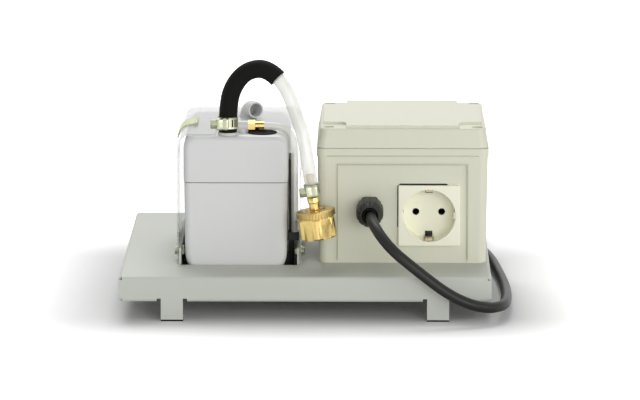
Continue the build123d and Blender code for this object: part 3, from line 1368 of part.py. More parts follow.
rail_bottom = box_floor_top
with BuildPart() as terminal_rail:
    # Top-hat section: a channel with a flange out to each side.
    channel = RAIL_WIDTH - 2 * RAIL_FLANGE
    with BuildSketch(Plane.YZ.offset(BOX_MIDDLE_X - RAIL_LENGTH / 2)):
        with Locations((rail_y, rail_bottom)):
            Rectangle(channel, RAIL_HEIGHT, align=(Align.CENTER, Align.MIN))
        with Locations((rail_y, rail_bottom + RAIL_HEIGHT)):
            Rectangle(RAIL_WIDTH, RAIL_SHEET, align=(Align.CENTER, Align.MAX))
        with Locations((rail_y, rail_bottom + RAIL_SHEET)):
            Rectangle(
                channel - 2 * RAIL_SHEET,
                RAIL_HEIGHT,
                align=(Align.CENTER, Align.MIN),
                mode=Mode.SUBTRACT,
            )
    extrude(amount=RAIL_LENGTH)
finish(terminal_rail, "terminal_rail")

blocks_start = BOX_MIDDLE_X - BLOCK_COUNT * BLOCK_WIDTH / 2
block_bottom = rail_bottom + RAIL_HEIGHT
with BuildPart() as terminal_blocks:
    for n in range(BLOCK_COUNT):
        x_low = blocks_start + n * BLOCK_WIDTH
        block(
            (x_low, x_low + BLOCK_WIDTH - BLOCK_GAP),
            (rail_y - BLOCK_DEPTH / 2, rail_y + BLOCK_DEPTH / 2),
            (block_bottom, block_bottom + BLOCK_HEIGHT),
        )
        for side in (-1, 1):
            # Sloping shoulder with the wire's entry and the screw's well.
            y_entry = rail_y + side * BLOCK_DEPTH / 2
            entry = facing(x_low + BLOCK_WIDTH / 2, y_entry, block_bottom + BLOCK_ENTRY_HEIGHT, (0, -side, 0))
            rod(entry, BLOCK_ENTRY, BLOCK_HOLE_LENGTH, Mode.SUBTRACT)
            well_y = rail_y + side * BLOCK_WELL_FROM_MIDDLE
            well_z = block_bottom + BLOCK_HEIGHT - BLOCK_WELL_DEPTH
            well = upright(x_low + BLOCK_WIDTH / 2, well_y, well_z)
            rod(well, BLOCK_WELL, BLOCK_HOLE_LENGTH, Mode.SUBTRACT)
finish(terminal_blocks, "terminal_blocks")

# ---------------------------------------------------------------- socket insert
socket_front = PANEL_FACE - SOCKET_PROUD
body_rear = PANEL_FACE + SOCKET_BODY_LENGTH
recess_floor = socket_front + SOCKET_RECESS_DEPTH
with BuildPart() as socket_insert:
    with BuildSketch(facing(SOCKET_X, PANEL_FACE, SOCKET_Z, (0, -1, 0))) as plate:
        RectangleRounded(SOCKET_SIZE, SOCKET_SIZE, SOCKET_CORNER)
    extrude(amount=SOCKET_PROUD)
    fillet(socket_insert.faces().sort_by(Axis.Y)[0].edges(), SOCKET_EDGE_ROUND)
    half = SOCKET_BODY / 2
    block(
        (SOCKET_X - half, SOCKET_X + half),
        (PANEL_FACE - 1, body_rear),
        (SOCKET_Z - half, SOCKET_Z + half),
    )
    mouth = facing(SOCKET_X, socket_front, SOCKET_Z, (0, 1, 0))
    rod(mouth, SOCKET_RECESS, SOCKET_RECESS_DEPTH, Mode.SUBTRACT)
    for side in (-1, 1):
        # Guide ribs at the sides of the recess, pin hole, and slot behind the earth clip.
        x_rib = SOCKET_X + side * (SOCKET_RECESS - GUIDE_REACH)
        x_wall = SOCKET_X + side * (SOCKET_RECESS + ROOT)
        block(
            (min(x_rib, x_wall), max(x_rib, x_wall)),
            (socket_front + GUIDE_FROM_FACE, recess_floor),
            (SOCKET_Z - GUIDE_WIDTH / 2, SOCKET_Z + GUIDE_WIDTH / 2),
        )
        pin = facing(SOCKET_X + side * PIN_SPACING / 2, recess_floor, SOCKET_Z, (0, 1, 0))
        rod(pin, PIN_HOLE, CUT_THROUGH, Mode.SUBTRACT)
        z_slot = SOCKET_Z + side * (SOCKET_RECESS + CLIP_SLOT_BACK)
        z_mouth = z_slot - side * CLIP_SLOT_DEPTH
        slot_half = CLIP_STRIP / 2 + CLIP_SLOT_SIDE
        block(
            (SOCKET_X - slot_half, SOCKET_X + slot_half),
            (socket_front + CLIP_SLOT_FROM_FACE, recess_floor + CLIP_SLOT_PAST_FLOOR),
            (min(z_mouth, z_slot), max(z_mouth, z_slot)),
            mode=Mode.SUBTRACT,
        )
    # The rear of the body is hollow behind the recess floor.
    rear_wall = recess_floor + SOCKET_FLOOR
    hollow_half = half - SOCKET_BODY_WALL
    block(
        (SOCKET_X - hollow_half, SOCKET_X + hollow_half),
        (rear_wall, body_rear + 1),
        (SOCKET_Z - hollow_half, SOCKET_Z + hollow_half),
        mode=Mode.SUBTRACT,
    )
finish(socket_insert, "socket_insert")

with BuildPart() as socket_contacts:
    for side in (-1, 1):
        base = facing(SOCKET_X + side * PIN_SPACING / 2, rear_wall, SOCKET_Z, (0, 1, 0))
        rod(base, PIN_HOLE + CONTACT_WALL, body_rear - rear_wall - CONTACT_SHORT)
        rod(base.offset(-1), PIN_HOLE, CUT_THROUGH, Mode.SUBTRACT)
finish(socket_contacts, "socket_contacts")

with BuildPart() as earth_clips:
    for side in (-1, 1):
        # Each strip lies in its slot and bows towards the plug.
        z_back = SOCKET_Z + side * SOCKET_RECESS
        z_front = z_back - side * CLIP_STRIP_THICK
        block(
            (SOCKET_X - CLIP_STRIP / 2, SOCKET_X + CLIP_STRIP / 2),
            (socket_front + CLIP_FROM_FACE, recess_floor + CLIP_PAST_FLOOR),
            (min(z_back, z_front), max(z_back, z_front)),
        )
        z_bow = z_back - side * CLIP_REACH
        bow_half = CLIP_STRIP / 2 - CLIP_BOW_NARROWER
        block(
            (SOCKET_X - bow_half, SOCKET_X + bow_half),
            (socket_front + CLIP_BOW_FROM, socket_front + CLIP_BOW_TO),
            (min(z_front, z_bow), max(z_front, z_bow)),
        )
finish(earth_clips, "earth_clips")

# ---------------------------------------------------------------- cable gland
gland_seat = facing(GLAND_X, PANEL_FACE, GLAND_Z, (0, -1, 0))
with BuildPart() as gland_body:
    hexagon(gland_seat, GLAND_HEX, GLAND_HEX_LENGTH)
    rod(gland_seat, GLAND_NECK_RADIUS, GLAND_HEX_LENGTH + GLAND_NECK_LENGTH)
    rod(gland_seat, GLAND_THREAD, -GLAND_INSIDE)
    rod(gland_seat.offset(-2 * GLAND_INSIDE), GLAND_BORE, CUT_THROUGH, Mode.SUBTRACT)
finish(gland_body, "gland_body")

with BuildPart() as gland_locknut:
    lock_seat = facing(GLAND_X, panel_inside, GLAND_Z, (0, 1, 0))
    hexagon(lock_seat, LOCKNUT_ACROSS, LOCKNUT_THICKNESS)
    rod(lock_seat, GLAND_THREAD + SHAFT_CLEARANCE, LOCKNUT_THICKNESS, Mode.SUBTRACT)
finish(gland_locknut, "gland_locknut")

nut_start = GLAND_HEX_LENGTH + GLAND_NUT_GAP
nut_length = GLAND_NUT_END - nut_start
with BuildPart() as gland_nut:
    nut_plane = gland_seat.offset(nut_start)
    rod(nut_plane, GLAND_NUT_RADIUS, nut_length)
    fillet(gland_nut.edges().filter_by(GeomType.CIRCLE).sort_by(Axis.Y)[0], GLAND_NUT_ROUND)
    with BuildSketch(nut_plane) as flutes:
        with PolarLocations(GLAND_NUT_RADIUS + GLAND_FLUTE_OUT, GLAND_NUT_FLUTES):
            Circle(GLAND_FLUTE_RADIUS)
    extrude(amount=nut_length - GLAND_FLUTE_END, mode=Mode.SUBTRACT)
    neck_room = GLAND_NECK_LENGTH - GLAND_NUT_GAP + GLAND_NUT_ROOM
    rod(nut_plane, GLAND_NECK_RADIUS + GLAND_NUT_CLEARANCE, neck_room, Mode.SUBTRACT)
    rod(nut_plane, GLAND_BORE, CUT_THROUGH, Mode.SUBTRACT)
finish(gland_nut, "gland_nut")

# ---------------------------------------------------------------- mains cable, coil and plug
cable_radii = bend_radii(CABLE_ROUTE)
leave = math.radians(CABLE_LEAVES_AT)
coil_outer_line = COIL_MIDDLE_RADIUS + CABLE_RADIUS * (COIL_TURNS_WIDE - 1)
coil_top_line = CABLE_RADIUS * (2 * COIL_TURNS_HIGH - 1)
tail_start = Vector(
    COIL_X + coil_outer_line * math.cos(leave), COIL_Y + coil_outer_line * math.sin(leave), coil_top_line
)
tail_way = Vector(-math.sin(leave), math.cos(leave), 0)
boot_tip = tail_start + tail_way * TAIL_LENGTH + Vector(0, 0, PLUG_RADIUS - coil_top_line)
tail_points = [
    tuple(tail_start),
    tuple(tail_start + tail_way * TAIL_LENGTH * 0.33 + Vector(0, 0, 1.0)),
    tuple(tail_start + tail_way * TAIL_LENGTH * 0.66 + Vector(0, 0, PLUG_RADIUS - coil_top_line)),
    tuple(boot_tip),
]
with BuildPart() as mains_cable:
    cable_length = tube_along(CABLE_ROUTE, cable_radii, CABLE_RADIUS)
    tail_length = tube_along(tail_points, bend_radii(tail_points), CABLE_RADIUS)
finish(mains_cable, "mains_cable")

coil_half_width = CABLE_RADIUS * COIL_TURNS_WIDE + COIL_ROOM
with BuildPart() as mains_coil:
    with BuildSketch() as ring:
        with Locations((COIL_X, COIL_Y)):
            Circle(COIL_MIDDLE_RADIUS + coil_half_width)
            Circle(COIL_MIDDLE_RADIUS - coil_half_width, mode=Mode.SUBTRACT)
    extrude(amount=2 * CABLE_RADIUS * COIL_TURNS_HIGH)
finish(mains_coil, "mains_coil")

plug_axis = Plane(origin=boot_tip, x_dir=(0, 0, 1), z_dir=tail_way)
with BuildPart() as plug_body:
    with BuildSketch(plug_axis) as tip:
        Circle(PLUG_BOOT_TIP)
    with BuildSketch(plug_axis.offset(PLUG_BOOT_LENGTH)) as boot:
        Circle(PLUG_GRIP_RADIUS)
    loft([tip.sketch, boot.sketch])
    with BuildSketch(plug_axis.offset(PLUG_BOOT_LENGTH)) as grip:
        Circle(PLUG_GRIP_RADIUS)
    with BuildSketch(plug_axis.offset(PLUG_BOOT_LENGTH + PLUG_SHOULDER)) as shoulder_face:
        Circle(PLUG_RADIUS)
    loft([grip.sketch, shoulder_face.sketch])
    plug_grip = plug_axis.offset(PLUG_BOOT_LENGTH + PLUG_SHOULDER)
    rod(plug_grip, PLUG_RADIUS, PLUG_BODY_LENGTH - PLUG_SHOULDER)
finish(plug_body, "plug_body")

with BuildPart() as plug_pins:
    face = plug_axis.offset(PLUG_BOOT_LENGTH + PLUG_BODY_LENGTH)
    for side in (-1, 1):
        place = face.origin + face.y_dir * side * PIN_SPACING / 2
        rod(Plane(origin=place, x_dir=face.x_dir, z_dir=face.z_dir), PLUG_PIN_RADIUS, PLUG_PIN_LENGTH)
    pin_ends = plug_pins.edges().filter_by(GeomType.CIRCLE)
    fillet(pin_ends.sort_by_distance(face.origin)[-2:], PLUG_PIN_ROUND)
finish(plug_pins, "plug_pins")

# ---------------------------------------------------------------- lengths and bends
turns = COIL_TURNS_WIDE * COIL_TURNS_HIGH + CABLE_LEAVES_AT / 360
coil_length = turns * 2 * math.pi * COIL_MIDDLE_RADIUS
print(f"mains cable: stretch {cable_length:.0f}, coil {coil_length:.0f}, tail {tail_length:.0f}")
print("mains cable radii", [round(r, 1) for r in cable_radii])
print(f"discharge hose {hose_length:.0f}, radii", [round(r, 1) for r in hose_radii])
print(f"sleeve {sleeve_length:.0f}; level tube {level_length:.0f}, radii", [round(r, 1) for r in tube_radii])
for name, tube, radius, bore, length in (
    ("mains cable", mains_cable, CABLE_RADIUS, 0, cable_length + tail_length),
    ("discharge hose", discharge_hose, HOSE_RADIUS, HOSE_BORE, hose_length),
    ("sleeve", insulating_sleeve, SLEEVE_RADIUS, HOSE_RADIUS + SLEEVE_GAP, sleeve_length),
    ("level tube", level_tube, TUBE_RADIUS, TUBE_BORE, level_length),
):
    expected = math.pi * (radius**2 - bore**2) * length
    print(f"{name}: volume {tube.part.volume:.0f}, section times length {expected:.0f}")
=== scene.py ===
# %% [markdown]
# # A condensate pump on its base tray
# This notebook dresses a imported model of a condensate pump: a hooded tank, a junction box with a
# socket, a discharge hose with a brass union, and a mains cable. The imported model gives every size
# and place. Here each part gets its finish, and the parts that show fine detail are built again.

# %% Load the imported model
import json
import math

import bmesh
import bpy
from mathutils import Matrix, Vector


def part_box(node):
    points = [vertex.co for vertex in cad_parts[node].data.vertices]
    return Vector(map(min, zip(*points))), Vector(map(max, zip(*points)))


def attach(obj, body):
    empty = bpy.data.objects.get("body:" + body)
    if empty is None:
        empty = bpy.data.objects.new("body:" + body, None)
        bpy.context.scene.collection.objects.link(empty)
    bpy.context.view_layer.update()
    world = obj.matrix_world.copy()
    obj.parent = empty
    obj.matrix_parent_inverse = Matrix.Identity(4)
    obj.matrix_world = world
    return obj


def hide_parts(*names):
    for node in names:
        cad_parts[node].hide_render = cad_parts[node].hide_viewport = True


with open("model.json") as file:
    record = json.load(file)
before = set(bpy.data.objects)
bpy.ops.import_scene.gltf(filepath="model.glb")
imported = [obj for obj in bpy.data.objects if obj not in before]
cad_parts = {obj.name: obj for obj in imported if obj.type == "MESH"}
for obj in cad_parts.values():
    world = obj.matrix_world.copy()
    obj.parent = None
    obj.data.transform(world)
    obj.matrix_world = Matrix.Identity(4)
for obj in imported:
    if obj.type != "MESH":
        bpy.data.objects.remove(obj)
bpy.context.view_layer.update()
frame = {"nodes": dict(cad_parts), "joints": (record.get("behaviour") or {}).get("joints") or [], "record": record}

MM = 0.001
nodes = frame["nodes"]
joints = {j["name"]: j for j in frame["joints"]}


# %% A helper that every piece, lamp and camera uses
def add_object(name, data):
    """A new object in the scene, at the origin."""
    thing = bpy.data.objects.new(name, data)
    bpy.context.scene.collection.objects.link(thing)
    return thing


print("made add_object")

# %% [markdown]
# ## The camera
# A long lens far away keeps the tray's sides nearly parallel. The camera stands in front of the
# pump, a little above it, and looks down by about ten degrees.

# %% Camera
CAMERA_PLACE = Vector((0.0483, -3.3206, 0.6755))
CAMERA_AIM = Vector((0.0103, -0.0740, 0.0796))
CAMERA_LENS = 253.4

camera_data = bpy.data.cameras.new("camera")
camera_data.lens = CAMERA_LENS
camera_data.sensor_width = 36.0
camera_data.clip_end = 50.0
camera = add_object("camera", camera_data)
camera.location = CAMERA_PLACE
camera.rotation_euler = (CAMERA_AIM - CAMERA_PLACE).to_track_quat("-Z", "Y").to_euler()
bpy.context.scene.camera = camera
bpy.context.scene.view_settings.view_transform = "Standard"
print("camera stands", round((CAMERA_AIM - CAMERA_PLACE).length, 2), "m away")


# %% [markdown]
# ## The cords
# A hose or a cable is one smooth NURBS curve with a round bevel. Its control points are the corners
# of the route that the solid follows, so both lie in the same place. The order and the endpoint
# setting come after the points: set earlier, they would leave straight runs.

# %% One curve from a list of points in millimetres
def cord_curve(name, points, radius, steps=8):
    """A round cord along a smooth curve through the middle of its route."""
    curve = bpy.data.curves.new(name, "CURVE")
    curve.dimensions = "3D"
    curve.bevel_depth = radius * MM
    curve.bevel_resolution = 5
    curve.resolution_u = steps
    curve.use_fill_caps = True
    spline = curve.splines.new("NURBS")
    spline.points.add(len(points) - 1)
    for point, place in zip(spline.points, points):
        point.co = (place[0] * MM, place[1] * MM, place[2] * MM, 1.0)
    spline.order_u = 3
    spline.use_endpoint_u = True
    return add_object(name, curve)


def spline_length(cord):
    """The length of a cord's own line, in metres."""
    bare = cord.data.copy()
    bare.bevel_depth = 0.0
    probe = add_object("probe", bare)
    bpy.context.view_layer.update()
    graph = bpy.context.evaluated_depsgraph_get()
    line = bpy.data.meshes.new_from_object(probe.evaluated_get(graph))
    places = [v.co.copy() for v in line.vertices]
    bpy.data.objects.remove(probe)
    return sum((b - a).length for a, b in zip(places, places[1:]))


print("made cord_curve and spline_length")


# %% [markdown]
# The mains cable leaves the gland at the front, swings down and round the tray's right edge, and
# runs back along the floor. It is a sheathed round cable, so its route is a list of corners that the
# smooth curve rounds off.

# %% Route of the mains cable round the tray
CABLE_RADIUS = 4.0
CABLE_STRETCH = [
    (46.8, -84.0, 73.2),
    (46.8, -116.5, 73.2),
    (60.0, -138.0, 57.0),
    (80.0, -142.0, 41.0),
    (105.5, -143.0, 21.5),
    (128.0, -141.5, 12.5),
    (144.0, -124.5, 11.0),
    (147.0, -92.0, 10.0),
    (148.0, -48.0, 6.2),
    (147.2, -3.0, 4.0),
    (144.0, 42.0, 4.0),
    (140.5, 86.0, 4.0),
    (133.5, 128.0, 4.0),
    (132.0, 166.0, 4.0),
]
print("corners of the cable's route", len(CABLE_STRETCH))

# %% [markdown]
# Behind the box the rest of the cable is wound into a neat coil of a little over four turns, two
# beside and two on top of each other. Each turn keeps one ring for most of its way and passes over
# to the next ring near its end, as a coil wound by hand does.

# %% The coil
COIL_MIDDLE = (84.0, 184.0)
COIL_RINGS = [(48.0, 4.0), (40.0, 4.0), (40.0, 12.0), (48.0, 12.0)]
COIL_STEPS = 16
COIL_LEAVES_AT = 53.13
CROSS_FROM = 0.72


def coil_points():
    """Control points of the turns. The last part of each turn passes over to the next ring."""
    points = []
    turns = len(COIL_RINGS) + COIL_LEAVES_AT / 360.0
    steps = round(turns * COIL_STEPS)
    for step in range(1, steps + 1):
        turn = turns * step / steps
        ring = min(int(turn), len(COIL_RINGS) - 1)
        share = min(1.0, max(0.0, (turn - ring - CROSS_FROM) / (1.0 - CROSS_FROM)))
        here = COIL_RINGS[ring]
        after = COIL_RINGS[min(ring + 1, len(COIL_RINGS) - 1)]
        radius = here[0] + (after[0] - here[0]) * share
        height = here[1] + (after[1] - here[1]) * share
        # A control polygon lies outside its curve, by the cosine of half a step.
        radius = radius / math.cos(math.pi / COIL_STEPS) ** 2
        angle = 2.0 * math.pi * turn
        middle_x, middle_y = COIL_MIDDLE
        points.append((middle_x + radius * math.cos(angle), middle_y + radius * math.sin(angle), height))
    return points


print("control points in the coil", len(coil_points()))

# %% [markdown]
# The coil's last turn leaves on top and rises to the middle of the plug, which lies on the floor on
# its side. The whole cable is then one curve, so its length can be measured in one go.

# %% The cable's tail, and the whole cable
PLUG_WAY = Vector((-0.8, 0.6, 0.0))
TAIL_START = Vector((112.8, 222.4, 12.0))
TAIL_LENGTH = 35.0
TAIL_RISES = [(0.33, 1.0), (0.66, 6.5)]
PLUG_HEIGHT = 18.5
boot_tip = TAIL_START + PLUG_WAY * TAIL_LENGTH
boot_tip.z = PLUG_HEIGHT
tail_points = []
for tail_share, tail_rise in TAIL_RISES:
    tail_points.append(TAIL_START + PLUG_WAY * TAIL_LENGTH * tail_share + Vector((0, 0, tail_rise)))
tail_points.append(boot_tip)
mains_cable = cord_curve("mains_lead", CABLE_STRETCH + coil_points() + tail_points, CABLE_RADIUS)
cable_length = spline_length(mains_cable)
print("mains cable", round(cable_length, 3), "m")

# %% [markdown]
# The discharge hose rises from the pump's outlet, makes a tight arch and comes down to the brass
# hose tail. Its last two points lie on the nut's own axis, so it enters the union straight.

# %% Discharge hose
HOSE_RADIUS = 4.85
HOSE_STRAIGHT = 41.0
HOSE_FOOT = 20.0
union_joint = joints["union_turn"]
nut_centre = Vector(union_joint["pos_m"]) / MM
nut_axis = Vector(union_joint["axis"]).normalized()
HOSE_ARCH = [
    (-57.0, -73.5, 131.6),
    (-57.0, -73.5, 150.1),
    (-52.5, -75.5, 165.5),
    (-42.5, -78.0, 176.5),
    (-28.0, -81.0, 178.5),
    (-15.5, -84.5, 166.5),
    (-8.5, -88.0, 150.0),
    (-1.8, -92.0, 131.0),
]
hose_end = [nut_centre + nut_axis * HOSE_STRAIGHT, nut_centre + nut_axis * HOSE_FOOT]
discharge_hose = cord_curve("discharge_hose_line", HOSE_ARCH + hose_end, HOSE_RADIUS, steps=12)
print("discharge hose", round(spline_length(discharge_hose), 4), "m")

# %% [markdown]
# A sleeve of black foam rubber covers the hose's first part, up and over the arch. It takes the
# hose's own corners, so the two stay round one middle line.

# %% Foam sleeve
SLEEVE_RADIUS = 6.7
SLEEVE_ROUTE = [(-57.0, -73.5, 130.4)] + HOSE_ARCH[1:5] + [(-20.25, -83.2, 171.1)]
sleeve = cord_curve("foam_sleeve", SLEEVE_ROUTE, SLEEVE_RADIUS, steps=12)
print("foam sleeve", round(spline_length(sleeve), 4), "m")

# %% [markdown]
# A thin clear tube comes off the brass elbow on the cover and hangs down the pump's side. Water
# stands in it as high as in the tank, so the level can be seen.

# %% Level tube
TUBE_RADIUS = 2.75
TUBE_FOOT = 53.0
TUBE_STRAIGHT = 18.0
TUBE_ROUTE = [
    (-30.7, -62.0, 132.6),
    (-22.0, -62.0, 132.6),
    (-13.6, -62.0, 130.2),
    (-9.2, -62.0, 122.5),
    (-8.3, -61.5, 108.0),
    (-8.5, -60.0, 88.0),
    (-8.3, -58.0, TUBE_FOOT + TUBE_STRAIGHT),
    (-8.3, -58.0, TUBE_FOOT),
]
level_tube = cord_curve("level_tube_line", TUBE_ROUTE, TUBE_RADIUS, steps=12)
print("level tube", round(spline_length(level_tube), 4), "m")


# %% [markdown]
# ## The studio
# The sky and the floor should look whiter to the camera, to mirrors and through clear plastic than
# they are as lights. A light path tells which kind of ray asks, so a white can be shown to the eye
# without adding to what lights the pump.

# %% What the eye sees
def joined(tree, operation, first, second):
    """One math node over two values."""
    node = tree.nodes.new("ShaderNodeMath")
    node.operation = operation
    tree.links.new(first, node.inputs[0])
    tree.links.new(second, node.inputs[1])
    return node.outputs[0]


def seen_by_eye(tree):
    """A value of 1 for rays from the camera, off a gloss or through clear plastic."""
    path = tree.nodes.new("ShaderNodeLightPath").outputs
    direct = joined(tree, "MAXIMUM", path["Is Camera Ray"], path["Is Glossy Ray"])
    return joined(tree, "MAXIMUM", direct, path["Is Transmission Ray"])


print("made joined and seen_by_eye")

# %% [markdown]
# The sky is an even white all round. As a light it is weak, and to the eye it is full white.

# %% Sky
SKY_LIGHT = 0.32
WHITE = (1.0, 1.0, 1.0, 1.0)
world = bpy.data.worlds.new("studio_sky")
world.use_nodes = True
sky = world.node_tree
sky.nodes["Background"].inputs["Color"].default_value = WHITE
sky.nodes["Background"].inputs["Strength"].default_value = SKY_LIGHT
white_sky = sky.nodes.new("ShaderNodeBackground")
white_sky.inputs["Color"].default_value = WHITE
sky_mix = sky.nodes.new("ShaderNodeMixShader")
sky.links.new(seen_by_eye(sky), sky_mix.inputs[0])
sky.links.new(sky.nodes["Background"].outputs[0], sky_mix.inputs[1])
sky.links.new(white_sky.outputs[0], sky_mix.inputs[2])
sky.links.new(sky_mix.outputs[0], sky.nodes["World Output"].inputs["Surface"])
bpy.context.scene.world = world
print("sky as a light", SKY_LIGHT)

# %% [markdown]
# The floor is a pale sheet that glows a little to the eye. Under the tray it has no glow, and the
# glow grows with the distance from there, so the shadow stays and fades into white.

# %% Floor
FLOOR_LIFT = 0.90
FLOOR_HALF = 6.0
SHADOW_REACH = 0.16
TRAY_HALF = (0.120, 0.105, 0.0)


def away_from_tray(tree):
    """The floor's lift: nothing under the tray, all of it a little way out, so the shadow stays."""
    where = tree.nodes.new("ShaderNodeTexCoord").outputs["Object"]
    around = tree.nodes.new("ShaderNodeVectorMath")
    around.operation = "ABSOLUTE"
    beyond = tree.nodes.new("ShaderNodeVectorMath")
    beyond.operation = "SUBTRACT"
    beyond.inputs[1].default_value = TRAY_HALF
    outside = tree.nodes.new("ShaderNodeVectorMath")
    outside.operation = "MAXIMUM"
    distance = tree.nodes.new("ShaderNodeVectorMath")
    distance.operation = "LENGTH"
    rise = tree.nodes.new("ShaderNodeMapRange")
    rise.interpolation_type = "SMOOTHSTEP"
    rise.inputs["From Max"].default_value = SHADOW_REACH
    rise.inputs["To Max"].default_value = FLOOR_LIFT
    tree.links.new(where, around.inputs[0])
    tree.links.new(around.outputs[0], beyond.inputs[0])
    tree.links.new(beyond.outputs[0], outside.inputs[0])
    tree.links.new(outside.outputs[0], distance.inputs[0])
    tree.links.new(distance.outputs["Value"], rise.inputs["Value"])
    return rise.outputs["Result"]


floor_mesh = bpy.data.meshes.new("studio_floor")
floor_signs = [(-1, -1), (1, -1), (1, 1), (-1, 1)]
floor_corners = [(FLOOR_HALF * x, FLOOR_HALF * y, 0.0) for x, y in floor_signs]
floor_mesh.from_pydata(floor_corners, [], [(0, 1, 2, 3)])
studio_floor = add_object("studio_floor", floor_mesh)
floor_paint = bpy.data.materials.new("studio_floor")
floor_paint.use_nodes = True
paint_tree = floor_paint.node_tree
paint = paint_tree.nodes["Principled BSDF"]
paint.inputs["Base Color"].default_value = (0.78, 0.78, 0.78, 1.0)
paint.inputs["Roughness"].default_value = 0.9
paint.inputs["Specular IOR Level"].default_value = 0.1
glow = joined(paint_tree, "MULTIPLY", seen_by_eye(paint_tree), away_from_tray(paint_tree))
paint_tree.links.new(glow, paint.inputs["Emission Strength"])
paint.inputs["Emission Color"].default_value = WHITE
studio_floor.data.materials.append(floor_paint)
print("floor side", 2 * FLOOR_HALF, "m")


# %% [markdown]
# One wide lamp stands above and behind the pump. It lights the tops and leaves the strip in front of
# the box dim. A second one stands in front, and a small one at the right puts the bright facet on
# the brass nut.

# %% Lamps
def softbox(name, place, aim, size, power):
    """A square lamp that looks from one place to another."""
    data = bpy.data.lights.new(name, "AREA")
    data.shape = "SQUARE"
    data.size = size
    data.energy = power
    lamp = add_object(name, data)
    lamp.location = place
    lamp.rotation_euler = (Vector(aim) - Vector(place)).to_track_quat("-Z", "Y").to_euler()


softbox("lamp_above_behind", (-0.25, 1.3, 1.9), (0.0, 0.0, 0.1), 1.6, 32.0)
softbox("lamp_in_front", (0.9, -3.0, 0.55), (0.0, 0.0, 0.1), 1.8, 43.0)
softbox("lamp_right", (1.45, -0.9, 0.42), (0.0, -0.05, 0.08), 0.7, 3.9)

# %% [markdown]
# ## Finishes
# Moulded plastic, powder coat and sheathing all show two things: a slow drift of tone over the part,
# and a fine grain that breaks up the gloss. One node group makes both from noise, and each finish
# takes them with its own scales.


# %% The group for drift of tone and for grain
def group_tree(name, inputs, outputs):
    """An empty shader node group with named inputs and outputs."""
    tree = bpy.data.node_groups.new(name, "ShaderNodeTree")
    for label, value in inputs:
        socket = tree.interface.new_socket(label, in_out="INPUT", socket_type="NodeSocketFloat")
        socket.default_value = value
    for label in outputs:
        tree.interface.new_socket(label, in_out="OUTPUT", socket_type="NodeSocketFloat")
    enter = tree.nodes.new("NodeGroupInput")
    leave = tree.nodes.new("NodeGroupOutput")
    return tree, enter, leave


def noise_in(tree, coordinates, scale_socket, detail):
    """A noise texture inside a group, with its scale taken from an input."""
    noise = tree.nodes.new("ShaderNodeTexNoise")
    noise.inputs["Detail"].default_value = detail
    tree.links.new(coordinates, noise.inputs["Vector"])
    tree.links.new(scale_socket, noise.inputs["Scale"])
    return noise.outputs["Fac"]


def make_grain_group():
    """Slow drift of tone, and fine grain."""
    tree, enter, leave = group_tree(
        "tone_and_grain", [("Drift Scale", 12.0), ("Grain Scale", 1500.0)], ["Drift", "Grain"]
    )
    where = tree.nodes.new("ShaderNodeTexCoord").outputs["Object"]
    tree.links.new(noise_in(tree, where, enter.outputs["Drift Scale"], 3.0), leave.inputs["Drift"])
    tree.links.new(noise_in(tree, where, enter.outputs["Grain Scale"], 2.0), leave.inputs["Grain"])
    return tree


grain_group = make_grain_group()
print("group", grain_group.name)


# %% [markdown]
# Turned or drawn metal shows short parallel lines. Noise that is squeezed along one direction looks
# the same, and needs no picture.

# %% The group for tool lines
def make_lines_group():
    """Fine lines across one direction, as a cutting tool or a drawing die leaves them."""
    tree, enter, leave = group_tree("tool_lines", [("Scale", 400.0), ("Stretch", 14.0)], ["Lines"])
    where = tree.nodes.new("ShaderNodeTexCoord").outputs["Object"]
    stretch = tree.nodes.new("ShaderNodeCombineXYZ")
    stretch.inputs["X"].default_value = 1.0
    stretch.inputs["Y"].default_value = 1.0
    tree.links.new(enter.outputs["Stretch"], stretch.inputs["Z"])
    scaled = tree.nodes.new("ShaderNodeVectorMath")
    scaled.operation = "MULTIPLY"
    tree.links.new(where, scaled.inputs[0])
    tree.links.new(stretch.outputs[0], scaled.inputs[1])
    lines = noise_in(tree, scaled.outputs[0], enter.outputs["Scale"], 2.0)
    tree.links.new(lines, leave.inputs["Lines"])
    return tree


lines_group = make_lines_group()
print("group", lines_group.name)


# %% [markdown]
# A little dust settles on faces that look up. The group finds them by their normal and breaks the
# mask up with noise.

# %% The group for dust
def make_dust_group():
    """A mask of faces that look up, broken up by noise."""
    tree, enter, leave = group_tree("settled_dust", [("Scale", 60.0), ("Amount", 0.3)], ["Dust"])
    geometry = tree.nodes.new("ShaderNodeNewGeometry")
    parts = tree.nodes.new("ShaderNodeSeparateXYZ")
    tree.links.new(geometry.outputs["Normal"], parts.inputs[0])
    up = tree.nodes.new("ShaderNodeMapRange")
    up.inputs["From Min"].default_value = 0.6
    tree.links.new(parts.outputs["Z"], up.inputs["Value"])
    where = tree.nodes.new("ShaderNodeTexCoord").outputs["Object"]
    cloud = noise_in(tree, where, enter.outputs["Scale"], 4.0)
    both = joined(tree, "MULTIPLY", up.outputs[0], cloud)
    share = joined(tree, "MULTIPLY", both, enter.outputs["Amount"])
    tree.links.new(share, leave.inputs["Dust"])
    return tree


dust_group = make_dust_group()
print("group", dust_group.name)


# %% [markdown]
# A finish is one Principled shader. Its colour drifts between two near tones, its roughness follows
# the grain, and the grain also lifts the surface by a few hundredths of a millimetre.

# %% One finish from its colour and its grain
COAT_ROUGHNESS = 0.25
BUMP_STRENGTH = 0.35
TOOL_SCALE = 900.0
DUST_TONE = (206, 202, 192)


def linear(red, green, blue):
    """A colour given from 0 to 255, as the shader wants it."""
    values = []
    for part in (red, green, blue):
        share = part / 255.0
        values.append(share / 12.92 if share <= 0.04045 else ((share + 0.055) / 1.055) ** 2.4)
    return (*values, 1.0)


def tone(colour, factor):
    """A lighter or darker tone of a colour."""
    return (*(min(1.0, part * factor) for part in colour[:3]), 1.0)


